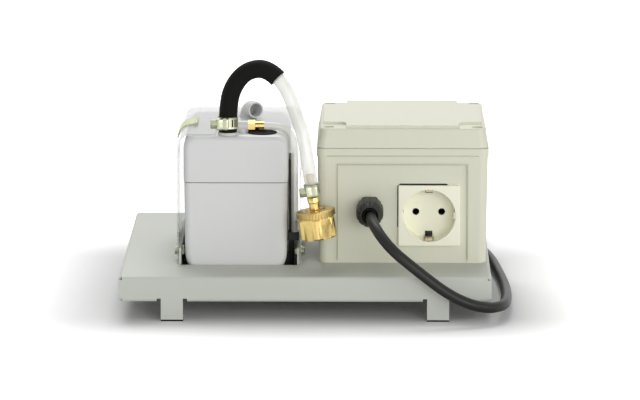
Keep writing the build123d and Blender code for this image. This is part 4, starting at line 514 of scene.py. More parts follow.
def put_group(tree, group, **values):
    """Place a shared group in a material and set its inputs."""
    node = tree.nodes.new("ShaderNodeGroup")
    node.node_tree = group
    for label, value in values.items():
        node.inputs[label.replace("_", " ")].default_value = value
    return node


def make_finish(name, colour, roughness, metallic=0.0, drift=0.03, drift_scale=12.0,
                grain_scale=1500.0, gloss_play=0.06, relief=0.02, lines=0.0, dust=0.0,
                coat=0.0, alpha=1.0, specular=0.5):
    """A Principled material with drifting tone, grain, optional tool lines and dust."""
    material = bpy.data.materials.new(name)
    material.use_nodes = True
    tree = material.node_tree
    shader = tree.nodes["Principled BSDF"]
    shader.inputs["Metallic"].default_value = metallic
    shader.inputs["Coat Weight"].default_value = coat
    shader.inputs["Coat Roughness"].default_value = COAT_ROUGHNESS
    shader.inputs["Alpha"].default_value = alpha
    shader.inputs["Specular IOR Level"].default_value = specular
    grain = put_group(tree, grain_group, Drift_Scale=drift_scale, Grain_Scale=grain_scale)
    colours = tree.nodes.new("ShaderNodeMix")
    colours.data_type = "RGBA"
    colours.inputs["A"].default_value = tone(colour, 1.0 - drift)
    colours.inputs["B"].default_value = tone(colour, 1.0 + drift)
    tree.links.new(grain.outputs["Drift"], colours.inputs["Factor"])
    base = colours.outputs["Result"]
    if dust:
        settled = put_group(tree, dust_group, Amount=dust)
        dusted = tree.nodes.new("ShaderNodeMix")
        dusted.data_type = "RGBA"
        dusted.inputs["B"].default_value = linear(*DUST_TONE)
        tree.links.new(settled.outputs["Dust"], dusted.inputs["Factor"])
        tree.links.new(base, dusted.inputs["A"])
        base = dusted.outputs["Result"]
    tree.links.new(base, shader.inputs["Base Color"])
    gloss = tree.nodes.new("ShaderNodeMapRange")
    gloss.inputs["To Min"].default_value = max(0.02, roughness - gloss_play)
    gloss.inputs["To Max"].default_value = min(1.0, roughness + gloss_play)
    height = grain.outputs["Grain"]
    if lines:
        tool = put_group(tree, lines_group, Scale=TOOL_SCALE, Stretch=lines)
        height = tool.outputs["Lines"]
    tree.links.new(height, gloss.inputs["Value"])
    tree.links.new(gloss.outputs[0], shader.inputs["Roughness"])
    bump = tree.nodes.new("ShaderNodeBump")
    bump.inputs["Strength"].default_value = BUMP_STRENGTH
    bump.inputs["Distance"].default_value = relief * MM
    tree.links.new(height, bump.inputs["Height"])
    tree.links.new(bump.outputs[0], shader.inputs["Normal"])
    return material


print("made make_finish")


# %% [markdown]
# The clear hood is a sheet bent from one piece. Such a sheet is nearly unseen face on and whiter
# where it turns away, so its alpha follows the slant at which it is seen.

# %% Clear sheet
SLANT_BLEND = 0.35


def make_clear(name, colour, roughness, face_alpha, edge_alpha):
    """Clear sheet: nearly unseen face on, whiter where it is seen at a slant."""
    material = make_finish(name, colour, roughness, drift=0.01, relief=0.006)
    tree = material.node_tree
    slant = tree.nodes.new("ShaderNodeLayerWeight")
    slant.inputs["Blend"].default_value = SLANT_BLEND
    veil = tree.nodes.new("ShaderNodeMapRange")
    veil.inputs["To Min"].default_value = face_alpha
    veil.inputs["To Max"].default_value = edge_alpha
    tree.links.new(slant.outputs["Facing"], veil.inputs["Value"])
    tree.links.new(veil.outputs["Result"], tree.nodes["Principled BSDF"].inputs["Alpha"])
    return material


print("made make_clear")

# %% [markdown]
# Every material slot of the imported model gets its finish here, and three more belong to small parts:
# the beads on the box, whose darker tone is painted shade, and two seals. The metals are bright and a
# little uneven, the rubbers dull, and the moulded plastics lie in between.

# %% The finishes
finishes = {
    "painted_steel": make_finish("painted_steel", linear(204, 207, 198), 0.55, drift=0.02,
                                 drift_scale=7.0, grain_scale=900.0, relief=0.05, dust=0.05,
                                 specular=0.35),
    "clear_plastic": make_clear("clear_plastic", linear(226, 228, 226), 0.10, 0.18, 0.82),
    "pump_plastic": make_finish("pump_plastic", linear(224, 225, 224), 0.36, drift=0.012,
                                drift_scale=9.0, grain_scale=2200.0, relief=0.012),
    "inner_plastic": make_finish("inner_plastic", linear(206, 205, 198), 0.45, relief=0.02),
    "white_plastic": make_finish("white_plastic", linear(250, 249, 228), 0.30, drift=0.01,
                                 relief=0.008, coat=0.2),
    "box_plastic": make_finish("box_plastic", linear(222, 222, 203), 0.42, drift=0.015,
                               drift_scale=8.0, grain_scale=1800.0, relief=0.02),
    "black_plastic": make_finish("black_plastic", linear(34, 34, 29), 0.45, drift=0.08,
                                 grain_scale=1400.0, relief=0.03, specular=0.3),
    "black_rubber": make_finish("black_rubber", linear(19, 19, 17), 0.82, drift=0.12,
                                drift_scale=140.0, grain_scale=2600.0, relief=0.16, dust=0.02,
                                specular=0.15),
    "cable_jacket": make_finish("cable_jacket", linear(22, 23, 20), 0.42, drift=0.08,
                                drift_scale=40.0, grain_scale=1500.0, relief=0.03, dust=0.01,
                                specular=0.3),
    "clear_hose": make_finish("clear_hose", linear(252, 252, 245), 0.22, drift=0.015,
                              drift_scale=30.0, relief=0.01, coat=0.3, alpha=0.60),
    "zinc_steel": make_finish("zinc_steel", linear(178, 181, 156), 0.34, metallic=0.9,
                              drift=0.14, drift_scale=160.0, relief=0.02, lines=6.0),
    "bare_steel": make_finish("bare_steel", linear(176, 176, 176), 0.32, metallic=1.0,
                              drift=0.06, drift_scale=90.0, relief=0.02, lines=18.0),
    "copper_winding": make_finish("copper_winding", linear(190, 112, 66), 0.34, metallic=0.8,
                                  drift=0.12, relief=0.12, lines=30.0, coat=0.5),
    "brass_fitting": make_finish("brass_fitting", linear(204, 179, 114), 0.24, metallic=1.0,
                                 drift=0.16, drift_scale=300.0, relief=0.02, lines=10.0),
    "plated_contact": make_finish("plated_contact", linear(158, 150, 126), 0.22, metallic=1.0,
                                  drift=0.05, drift_scale=120.0, relief=0.01, lines=8.0),
    # The beads' finish is a darker box tone: painted shade along the panel's edge and under the lid's joint.
    "painted_shade_edge": make_finish("painted_shade_edge", linear(194, 194, 174), 0.45, drift=0.015, relief=0.02),
    "grey_seal": make_finish("grey_seal", linear(150, 150, 147), 0.7, relief=0.03),
    "pale_seal": make_finish("pale_seal", linear(214, 214, 200), 0.7, relief=0.03),
    "pale_clip": make_finish("pale_clip", linear(216, 221, 176), 0.38, drift=0.04,
                             drift_scale=90.0, relief=0.03),
}
print("finishes", len(finishes))

# %% [markdown]
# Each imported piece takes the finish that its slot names. Four of them look better in another one,
# such as the lid's gasket, which is a paler seal than the tank's.

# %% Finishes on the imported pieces
slot_of = {row["node"]: row["material_slot"] for row in frame["record"]["subparts"]}
for node_name, node in nodes.items():
    node.data.materials.clear()
    node.data.materials.append(finishes[slot_of[node_name]])
better_finish = {
    "lid_gasket": "pale_seal",
    "cover_seal": "grey_seal",
    "tank_port": "black_plastic",
    "tube_union": "pump_plastic",
}
for node_name, finish_name in better_finish.items():
    nodes[node_name].data.materials[0] = finishes[finish_name]
print("pieces with a finish", len(nodes), "of them changed", len(better_finish))


# %% [markdown]
# ## Turned pieces
# Nuts, barbs, screws and plugs are all turned: one outline swept round an axis. A plain lathe makes
# only round pieces, so here a radius may also be a rule of the angle. A hexagon, a knurl and a grip
# with flutes are then the same few lines as a washer.

# %% Where a piece goes
FRONT = (0.0, -1.0, 0.0)


def stand(origin, axis, side):
    """A matrix that puts a piece at a place in millimetres, its z along an axis, its x near a side."""
    z = Vector(axis).normalized()
    x = Vector(side)
    x = (x - z * x.dot(z)).normalized()
    turn = Matrix((x, z.cross(x), z)).transposed().to_4x4()
    return Matrix.Translation(Vector(origin) * MM) @ turn @ Matrix.Scale(MM, 4)


print("made stand")


# %% Rules for a radius, and the lathe
TOOTH_FULLNESS = 0.7


def hexagon(across, corner):
    """Radius of a hexagon with its corners turned down to a smaller radius."""

    def reach(angle):
        inside = (math.degrees(angle) % 60.0) - 30.0
        return min(across / 2.0 / math.cos(math.radians(inside)), corner)

    return reach


def toothed(radius, count, depth, shift=0.0):
    """Radius of a rim with rounded teeth, turned by a share of one tooth."""

    def reach(angle):
        wave = 0.5 - 0.5 * math.cos(count * angle + 2.0 * math.pi * shift)
        return radius - depth * wave**TOOTH_FULLNESS

    return reach


def capped(reach, limit):
    """The smaller of a rule and a radius, which is how a corner is chamfered."""
    return lambda angle: min(reach(angle), limit)


def turned(shape, outline, steps=96):
    """Add an outline of (radius, height) pairs, swept once round z. A radius of 0 is a pole."""
    rows = []
    for reach, height in outline:
        if reach == 0:
            rows.append([shape.verts.new((0.0, 0.0, height))])
            continue
        row = []
        for step in range(steps):
            angle = 2.0 * math.pi * step / steps
            radius = reach(angle) if callable(reach) else reach
            row.append(shape.verts.new((radius * math.cos(angle), radius * math.sin(angle), height)))
        rows.append(row)
    pairs = list(zip(rows, rows[1:]))
    if len(rows[0]) > 1:
        pairs.append((rows[-1], rows[0]))
    for low, high in pairs:
        for step in range(steps):
            after = (step + 1) % steps
            if len(low) == 1:
                shape.faces.new((low[0], high[after], high[step]))
            elif len(high) == 1:
                shape.faces.new((low[step], low[after], high[0]))
            else:
                shape.faces.new((low[step], low[after], high[after], high[step]))


print("made turned and its rules")


# %% From a shape to a piece that rides on its body
def mesh_of(name, shape, crease):
    """A mesh from a shape, smooth where its faces meet at less than the crease angle."""
    bmesh.ops.recalc_face_normals(shape, faces=shape.faces)
    mesh = bpy.data.meshes.new(name)
    shape.to_mesh(mesh)
    shape.free()
    mesh.shade_smooth()
    mesh.set_sharp_from_angle(angle=math.radians(crease))
    return mesh


def new_piece(name, shape, where, finish_name, body, *replaced, crease=32.0, slot=""):
    """Make a mesh piece from its shape, put it in place and let it ride on its body."""
    bmesh.ops.transform(shape, matrix=where, verts=shape.verts)
    mesh = mesh_of(name, shape, crease)
    piece = add_object(name, mesh)
    mesh.materials.append(finishes[finish_name])
    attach(piece, body)
    if replaced:
        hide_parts(*replaced)
    print(name, len(mesh.polygons), "faces")
    return piece


print("made mesh_of and new_piece")

# %% [markdown]
# ## The brass union
# The loose nut is a heavy hexagon with chamfered corners under a knurled flange that a hand can
# turn. The knurl is rows of teeth, each set half a tooth on from the last, which makes diamonds. The
# pipe thread is a row of grooves in the bore.

# %% Union nut
NUT_ACROSS = 26.0
NUT_CORNER = 14.6
NUT_FOOT = -11.0
FLANGE_FOOT = 4.5
FLANGE_TOP = 10.0
FLANGE_RADIUS = 14.5
FLANGE_TEETH = 40
KNURL_DEPTH = 0.8
KNURL_ROWS = 5
THREAD_CREST = 9.3
THREAD_ROOT = 9.9
THREAD_PITCH = 1.8
SEAT_FOOT = 0.8
SEAT_TOP = 4.8
SEAT_RADIUS = 8.9
STEM_HOLE = 3.95


def thread_outline():
    """The bore's thread as rings, from the seat down to the mouth."""
    rings = []
    height = SEAT_FOOT
    while height > NUT_FOOT + THREAD_PITCH:
        rings.append((THREAD_CREST, height - 0.2))
        rings.append((THREAD_ROOT, height - THREAD_PITCH / 2.0))
        height -= THREAD_PITCH
    return rings


def knurl_outline():
    """Rows of teeth up the flange. Every second row is half a tooth on, which makes diamonds."""
    low = FLANGE_FOOT + 0.9
    pitch = (FLANGE_TOP - 0.8 - low) / (KNURL_ROWS - 1)
    rows = []
    for row in range(KNURL_ROWS):
        teeth = toothed(FLANGE_RADIUS, FLANGE_TEETH, KNURL_DEPTH, shift=0.5 * (row % 2))
        rows.append((teeth, low + pitch * row))
    return rows


nut_hexagon = hexagon(NUT_ACROSS, NUT_CORNER)
nut_outline = [
    (THREAD_ROOT + 0.4, NUT_FOOT),
    (12.0, NUT_FOOT),
    (capped(nut_hexagon, 13.1), NUT_FOOT + 0.25),
    (nut_hexagon, NUT_FOOT + 1.3),
    (nut_hexagon, FLANGE_FOOT - 1.1),
    (capped(nut_hexagon, 13.5), FLANGE_FOOT - 0.1),
    (13.3, FLANGE_FOOT + 0.2),
    (13.9, FLANGE_FOOT + 0.4),
    *knurl_outline(),
    (13.4, FLANGE_TOP - 0.2),
    (12.9, FLANGE_TOP),
    (7.6, FLANGE_TOP),
    (7.2, FLANGE_TOP - 0.7),
    (STEM_HOLE + 0.5, FLANGE_TOP - 0.7),
    (STEM_HOLE, FLANGE_TOP - 1.2),
    (STEM_HOLE, SEAT_TOP),
    (SEAT_RADIUS, SEAT_TOP),
    (SEAT_RADIUS, SEAT_FOOT),
    *thread_outline(),
]
union_place = stand(nut_centre, nut_axis, FRONT)
shape = bmesh.new()
turned(shape, nut_outline, steps=360)
new_piece("brass_nut", shape, union_place, "brass_fitting", "union", "union_nut", crease=24.0)

# %% [markdown]
# The hose tail sits in the nut with a flat head, and its barb goes up into the hose. The barb is a
# row of cones, so it is turned like the nut.

# %% Hose tail
TAIL_BORE = 2.2
TAIL_STEM = 3.85
TAIL_COLLAR = 4.6
BARB_FOOT = HOSE_FOOT
BARB_PITCH = 3.1
BARB_TEETH = 5


def barb_outline():
    """Teeth of the barb: each leans back, so the hose slides on and can't slide off."""
    rings = [(3.2, BARB_FOOT)]
    for tooth in range(BARB_TEETH):
        foot = BARB_FOOT + BARB_PITCH * tooth
        rings += [(2.8 - 0.04 * tooth, foot + 0.3), (3.2 - 0.04 * tooth, foot + BARB_PITCH)]
    return rings


BARB_TOP = BARB_FOOT + BARB_PITCH * BARB_TEETH + 0.9
shape = bmesh.new()
turned(
    shape,
    [
        (TAIL_BORE, 2.8),
        (8.8, 2.8),
        (8.8, 4.6),
        (TAIL_STEM, 4.6),
        (TAIL_STEM, 14.2),
        (4.1, 14.4),
        (4.1, 15.0),
        (TAIL_COLLAR - 0.3, 15.2),
        (TAIL_COLLAR, 15.6),
        (TAIL_COLLAR, 19.0),
        (TAIL_COLLAR - 0.3, 19.5),
        *barb_outline(),
        (2.6, BARB_TOP),
        (TAIL_BORE, BARB_TOP),
    ],
    steps=72,
)
new_piece("brass_tail", shape, union_place, "brass_fitting", "stand", "hose_tail")


# %% [markdown]
# ## Worm-drive clamps
# A worm-drive clamp is a steel band with a row of slots, a pressed housing over the overlap, and a
# screw whose thread runs in the slots. The band is laid out as a grid of small cells round the hose.
# Cells that belong to a slot are left out, and each side of a left-out cell gets a wall, so the
# slots are really cut through the steel.

# %% Band with slots
BAND_THICK = 0.7
BAND_WIDTH = 8.6
BAND_CELLS = 132
BAND_ROWS = (0.0, 0.5, 1.5, 7.1, 8.1, 8.6)
SLOT_ROW = 2
SLOT_CELLS = 3
SLOT_PITCH = 6
SLOTS_FROM = -172.0
SLOTS_TO = -24.0


def in_slot(cell, row):
    """True where the band has a slot."""
    angle = 360.0 * cell / BAND_CELLS - 360.0 * (cell > BAND_CELLS / 2)
    return row == SLOT_ROW and SLOTS_FROM < angle < SLOTS_TO and cell % SLOT_PITCH < SLOT_CELLS


def band(shape, bore):
    """Add a slotted band that is a closed shell."""
    corners = {}
    last_row = len(BAND_ROWS) - 1

    def corner(cell, row, side):
        key = (cell % BAND_CELLS, row, side)
        if key not in corners:
            angle = 2.0 * math.pi * key[0] / BAND_CELLS
            lip = 0.3 if row in (0, last_row) else 0.0
            radius = bore + (BAND_THICK if side else 0.0) + lip
            place = (radius * math.cos(angle), radius * math.sin(angle), BAND_ROWS[row])
            corners[key] = shape.verts.new(place)
        return corners[key]

    for cell in range(BAND_CELLS):
        for row in range(last_row):
            if in_slot(cell, row):
                continue
            for side in (0, 1):
                around = [(cell, row), (cell + 1, row), (cell + 1, row + 1), (cell, row + 1)]
                shape.faces.new([corner(c, r, side) for c, r in around])
            neighbours = [
                ((cell, row - 1), (cell, row), (cell + 1, row)),
                ((cell, row + 1), (cell, row + 1), (cell + 1, row + 1)),
                ((cell - 1, row), (cell, row), (cell, row + 1)),
                ((cell + 1, row), (cell + 1, row), (cell + 1, row + 1)),
            ]
            for (next_cell, next_row), first, second in neighbours:
                outside = next_row < 0 or next_row >= last_row
                if outside or in_slot(next_cell % BAND_CELLS, next_row):
                    rim = [(first, 0), (second, 0), (second, 1), (first, 1)]
                    shape.faces.new([corner(c, r, side) for (c, r), side in rim])


print("cells round the band", BAND_CELLS)

# %% [markdown]
# The housing is pressed from sheet, so its corners are well rounded. A radius that follows a rounded
# rectangle lets the same lathe make it, with a groove where the pressing necks in.

# %% Housing of a clamp
HOUSING_LENGTH = 8.5
HOUSING_DEPTH = 5.6
SCREW_BORE = 2.15


def pressed_outline(depth, width, power=5.0):
    """Radius of a rectangle whose corners are well rounded."""

    def reach(angle):
        across = abs(math.cos(angle) / (depth / 2.0)) ** power
        along = abs(math.sin(angle) / (width / 2.0)) ** power
        return (across + along) ** (-1.0 / power)

    return reach


def shrunk(reach, less):
    """A rule made smaller by a fixed amount."""
    return lambda angle: reach(angle) - less


def housing(shape):
    """Add the pressed housing round the screw's bore."""
    wall = pressed_outline(HOUSING_DEPTH, BAND_WIDTH)
    half_length = HOUSING_LENGTH / 2.0
    turned(
        shape,
        [
            (SCREW_BORE, -half_length),
            (shrunk(wall, 0.7), -half_length),
            (shrunk(wall, 0.15), -half_length + 0.25),
            (wall, -half_length + 0.8),
            (wall, -0.9),
            (shrunk(wall, 0.25), -0.5),
            (shrunk(wall, 0.25), 0.5),
            (wall, 0.9),
            (wall, half_length - 0.8),
            (shrunk(wall, 0.15), half_length - 0.25),
            (shrunk(wall, 0.7), half_length),
            (SCREW_BORE, half_length),
        ],
        steps=64,
    )


def worm_clamp(name, start, axis, bore, shift, replaced):
    """Make the band and housing of a clamp, and return where its screw goes."""
    # z runs along the hose, x to the front and y towards the screw's head.
    plane = stand(start, axis, FRONT)
    shape = bmesh.new()
    band(shape, bore)
    out = bore + HOUSING_DEPTH / 2.0
    seat = Matrix.Translation((out, shift, BAND_WIDTH / 2.0)) @ Matrix.Rotation(-math.pi / 2.0, 4, "X")
    box = bmesh.new()
    housing(box)
    bmesh.ops.transform(box, matrix=seat, verts=box.verts)
    loose = bpy.data.meshes.new("housing")
    box.to_mesh(loose)
    box.free()
    shape.from_mesh(loose)
    bpy.data.meshes.remove(loose)
    new_piece(name, shape, plane, "zinc_steel", "stand", replaced)
    return plane @ seat


print("made housing and worm_clamp")

# %% [markdown]
# The screw is a worm with a slotted hexagon head. Its thread is a row of rings, and the slot is cut
# from the head with a plain block.

# %% Screw of a clamp
WORM_RADIUS = 2.05
WORM_TURNS = 5
WORM_PITCH = 1.6
WORM_DEPTH = 0.45
HEAD_ACROSS = 6.5
HEAD_CORNER = 3.6725
HEAD_LENGTH = 4.6
HEAD_GAP = 0.3
HEAD_SLOT = 0.9
HEAD_SLOT_DEPTH = 1.4


def worm_screw(name, seat, body, replaced):
    """Make a clamp's screw: worm, collar and slotted hexagon head."""
    shape = bmesh.new()
    start = -HOUSING_LENGTH / 2.0
    head_foot = HOUSING_LENGTH / 2.0 + HEAD_GAP
    threads = []
    for ring in range(WORM_TURNS):
        foot = start + 0.3 + WORM_PITCH * ring
        threads.append((WORM_RADIUS, foot))
        threads.append((WORM_RADIUS - WORM_DEPTH, foot + WORM_PITCH / 2.0))
    across = hexagon(HEAD_ACROSS, HEAD_CORNER)
    head_top = head_foot + HEAD_LENGTH
    turned(
        shape,
        [
            (0, start),
            (WORM_RADIUS - 0.5, start),
            *threads,
            (WORM_RADIUS, head_foot - 0.2),
            (WORM_RADIUS, head_foot),
            (3.1, head_foot),
            (across, head_foot + 0.5),
            (across, head_top - 0.7),
            (capped(across, 3.0), head_top - 0.1),
            (2.7, head_top),
            (0, head_top),
        ],
        steps=72,
    )
    screw = new_piece(name, shape, seat, "zinc_steel", body, replaced)
    slot = bmesh.new()
    bmesh.ops.create_cube(slot, size=1.0)
    size = Matrix.Diagonal((4.0 * HEAD_ACROSS, HEAD_SLOT, 2.0 * HEAD_SLOT_DEPTH, 1.0))
    slot_place = seat @ Matrix.Translation((0, 0, head_top)) @ size
    bmesh.ops.transform(slot, matrix=slot_place, verts=slot.verts)
    cutter_mesh = bpy.data.meshes.new("slot_cutter")
    slot.to_mesh(cutter_mesh)
    slot.free()
    cutter = add_object("slot_cutter", cutter_mesh)
    cut = screw.modifiers.new("slot", "BOOLEAN")
    cut.operation = "DIFFERENCE"
    cut.solver = "EXACT"
    cut.object = cutter
    graph = bpy.context.evaluated_depsgraph_get()
    result = bpy.data.meshes.new_from_object(screw.evaluated_get(graph))
    screw.modifiers.remove(cut)
    screw.data = result
    bpy.data.objects.remove(cutter)


print("made worm_screw")

# %% [markdown]
# One clamp holds the sleeve and the hose on the pump's outlet, and one holds the hose on the brass
# tail. Both are the same clamp round another bore, and the screw of each can turn.

# %% The two clamps
CLAMP_CLEARANCE = 0.1
OUTLET_SHIFT = 3.4
TAIL_CLAMP_GAP = 0.6
outlet_top = Vector((*HOSE_ARCH[0][:2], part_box("outlet_clamp")[1][2] / MM))
outlet_bore = SLEEVE_RADIUS + CLAMP_CLEARANCE
outlet_seat = worm_clamp(
    "outlet_band", outlet_top, (0, 0, -1), outlet_bore, OUTLET_SHIFT, "outlet_clamp"
)
worm_screw("outlet_worm", outlet_seat, "outlet_screw", "outlet_clamp_screw")
tail_top = nut_centre + nut_axis * (HOSE_FOOT + TAIL_CLAMP_GAP + BAND_WIDTH)
tail_bore = HOSE_RADIUS + CLAMP_CLEARANCE
tail_seat = worm_clamp("tail_band", tail_top, -nut_axis, tail_bore, 0.0, "tail_clamp")
worm_screw("tail_worm", tail_seat, "tail_screw", "tail_clamp_screw")


# %% [markdown]
# ## The cable gland
# The gland's cap nut squeezes a rubber ring round the cable. It has twelve flats for a hand or a
# spanner and a domed end, so it tapers down to the cable and serves as its strain relief.

# %% Cap nut of the gland
gland_low, gland_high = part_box("gland_nut")
cap_length = (gland_high[1] - gland_low[1]) / MM
gland_axis_x = (gland_low[0] + gland_high[0]) / 2.0 / MM
gland_axis_z = (gland_low[2] + gland_high[2]) / 2.0 / MM
cap_start = Vector((gland_axis_x, gland_high[1] / MM, gland_axis_z))
cap_place = stand(cap_start, FRONT, (0, 0, 1))
CAP_RADIUS = 9.95
CAP_FLATS = 12
NECK_BORE = 7.48
NECK_DEPTH = 9.0
CABLE_BORE = 4.4
CORNER_SHARE = 0.985
FLAT_HOLLOW = 0.15
GROOVE_DEPTH = 0.75
GROOVE_WIDTH = 0.16


def flats(angle):
    """Radius of the cap nut: flats with a narrow groove at each corner."""
    share = (math.degrees(angle) % (360.0 / CAP_FLATS)) * CAP_FLATS / 360.0
    corner_near = min(share, 1.0 - share)
    groove = GROOVE_DEPTH * max(0.0, 1.0 - corner_near / GROOVE_WIDTH)
    corner = CAP_RADIUS / math.cos(math.pi / CAP_FLATS) * CORNER_SHARE
    return corner - FLAT_HOLLOW * (1.0 - 2.0 * corner_near) - groove


def dome(share):
    """The cap nut's rule at a share of its full radius."""
    return lambda angle: min(flats(angle), CAP_RADIUS) * share


shape = bmesh.new()
turned(
    shape,
    [
        (NECK_BORE, 0.0),
        (dome(0.95), 0.0),
        (dome(1.0), 0.7),
        (dome(1.0), cap_length - 8.5),
        (dome(0.97), cap_length - 6.0),
        (dome(0.90), cap_length - 3.6),
        (dome(0.79), cap_length - 1.5),
        (7.1, cap_length - 0.5),
        (6.6, cap_length),
        (6.1, cap_length),
        (5.8, cap_length - 0.8),
        (5.6, cap_length - 2.2),
        (CABLE_BORE + 0.1, cap_length - 2.6),
        (CABLE_BORE, NECK_DEPTH),
        (NECK_BORE, NECK_DEPTH),
    ],
    steps=240,
)
new_piece("gland_cap_nut", shape, cap_place, "black_plastic", "gland_cap", "gland_nut", crease=20.0)

# %% [markdown]
# A soft ring shows in the cap nut's mouth, tight round the cable. It keeps water out and lets the
# nut turn without turning the cable, so it stays with the stand.

# %% Rubber ring of the gland
RING_BORE = CABLE_RADIUS + 0.05
shape = bmesh.new()
turned(
    shape,
    [
        (RING_BORE, cap_length - 2.3),
        (5.4, cap_length - 2.3),
        (5.2, cap_length - 1.2),
        (4.6, cap_length - 0.7),
        (RING_BORE, cap_length - 0.6),
    ],
    steps=48,
)
new_piece("gland_ring", shape, cap_place, "black_rubber", "stand")

# %% [markdown]
# Behind the cap nut the gland's body shows as a low hexagon against the wall. Its neck carries the
# cap nut, and its thread goes through the wall to the lock nut inside.

# %% Body of the gland
PANEL_FACE = -72.6
BODY_ACROSS = 17.2
BODY_CORNER = 9.7
BODY_THREAD = 8.0
BODY_NECK = 7.4
BODY_INSIDE = -12.0
BODY_HEXAGON_TOP = 5.0
BODY_END = 14.0
body_hexagon = hexagon(BODY_ACROSS, BODY_CORNER)
body_place = stand((gland_axis_x, PANEL_FACE, gland_axis_z), FRONT, (1, 0, 0))
shape = bmesh.new()
turned(
    shape,
    [
        (CABLE_BORE, BODY_INSIDE),
        (BODY_THREAD - 0.5, BODY_INSIDE),
        (BODY_THREAD, BODY_INSIDE + 0.5),
        (BODY_THREAD, 0.0),
        (body_hexagon, 0.0),
        (body_hexagon, BODY_HEXAGON_TOP - 0.6),
        (capped(body_hexagon, BODY_CORNER - 0.7), BODY_HEXAGON_TOP),
        (BODY_NECK, BODY_HEXAGON_TOP),
        (BODY_NECK, BODY_END - 0.4),
        (BODY_NECK - 0.4, BODY_END),
        (CABLE_BORE, BODY_END),
    ],
    steps=96,
)
new_piece("gland_hexagon", shape, body_place, "black_plastic", "stand", "gland_body")

# %% [markdown]
# ## The plug
# The plug is one soft moulding: a ribbed boot that bends with the cable, a shoulder, and a round
# body with flutes for the fingers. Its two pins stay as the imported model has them.

# %% Plug body
PLUG_RADIUS = 18.5
BOOT_LENGTH = 28.0
SHOULDER_LENGTH = 10.0
PLUG_LENGTH = 66.0
BOOT_RIBS = 6
BOOT_TIP_RADIUS = 4.6
BOOT_FOOT_RADIUS = 9.0
GRIP_FLUTES = 24


def boot_outline():
    """Ribs of the boot: each a ring with a groove behind it."""
    rings = []
    pitch = (BOOT_LENGTH - 3.0) / BOOT_RIBS
    for rib in range(BOOT_RIBS):
        foot = 1.0 + rib * pitch
        radius = BOOT_TIP_RADIUS + (BOOT_FOOT_RADIUS - BOOT_TIP_RADIUS) * foot / BOOT_LENGTH
        rings += [(radius, foot), (radius + 0.5, foot + 0.5), (radius + 0.5, foot + pitch - 1.5)]
        rings += [(radius - 0.2, foot + pitch - 1.2), (radius - 0.2, foot + pitch - 0.4)]
    return rings


grip = toothed(PLUG_RADIUS, GRIP_FLUTES, 0.8)
shape = bmesh.new()
turned(
    shape,
    [
        (0, 0.0),
        (4.4, 0.0),
        *boot_outline(),
        (BOOT_FOOT_RADIUS, BOOT_LENGTH),
        (12.5, BOOT_LENGTH + 2.4),
        (16.4, BOOT_LENGTH + 6.2),
        (PLUG_RADIUS - 0.6, BOOT_LENGTH + SHOULDER_LENGTH - 0.6),
        (grip, BOOT_LENGTH + SHOULDER_LENGTH + 2.0),
        (grip, PLUG_LENGTH - 7.0),
        (PLUG_RADIUS - 0.1, PLUG_LENGTH - 5.6),
        (PLUG_RADIUS - 0.1, PLUG_LENGTH - 0.7),
        (PLUG_RADIUS - 0.8, PLUG_LENGTH),
        (0, PLUG_LENGTH),
    ],
    steps=192,
)
plug_place = stand(boot_tip, PLUG_WAY, (0, 0, 1))
new_piece("moulded_plug", shape, plug_place, "cable_jacket", "stand", "plug_body")


# %% [markdown]
# ## The hood's screws
# Four equal screws hold the hood. Each is a hexagon on a flange, so it needs no washer. One screw is
# turned here as a pattern for all four.

# %% One flanged hexagon screw
SCREW_HEAD = 3.8
SCREW_HEAD_HEIGHT = 2.6
SCREW_THREAD = 2.0
SCREW_LENGTH = 5.0
SCREW_ACROSS = 5.5
SCREW_CORNER = 3.05


def screw_pattern():
    """A screw along z, with its seat at 0."""
    shape = bmesh.new()
    across = hexagon(SCREW_ACROSS, SCREW_CORNER)
    turned(
        shape,
        [
            (0, -SCREW_LENGTH),
            (SCREW_THREAD - 0.3, -SCREW_LENGTH),
            (SCREW_THREAD, -SCREW_LENGTH + 0.4),
            (SCREW_THREAD, 0.0),
            (SCREW_HEAD, 0.0),
            (SCREW_HEAD, 0.5),
            (SCREW_HEAD - 0.5, 0.8),
            (across, 0.9),
            (across, 2.1),
            (capped(across, 2.4), 2.5),
            (1.6, SCREW_HEAD_HEIGHT),
            (1.2, 2.2),
            (0, 2.1),
        ],
        steps=48,
    )
    bmesh.ops.scale(shape, vec=(MM, MM, MM), verts=shape.verts)
    return add_object("screw_pattern", mesh_of("screw_pattern", shape, 30.0))


hood_screw = screw_pattern()
print("screw pattern", len(hood_screw.data.polygons), "faces")


# %% [markdown]
# A Geometry Nodes tree puts the pattern at each of its points, turns it to the way that the point
# names, and gives each its own random spin, as screws that were driven home by hand have.

# %% The tree that sets a screw at each point
SCREW_SEED = 7


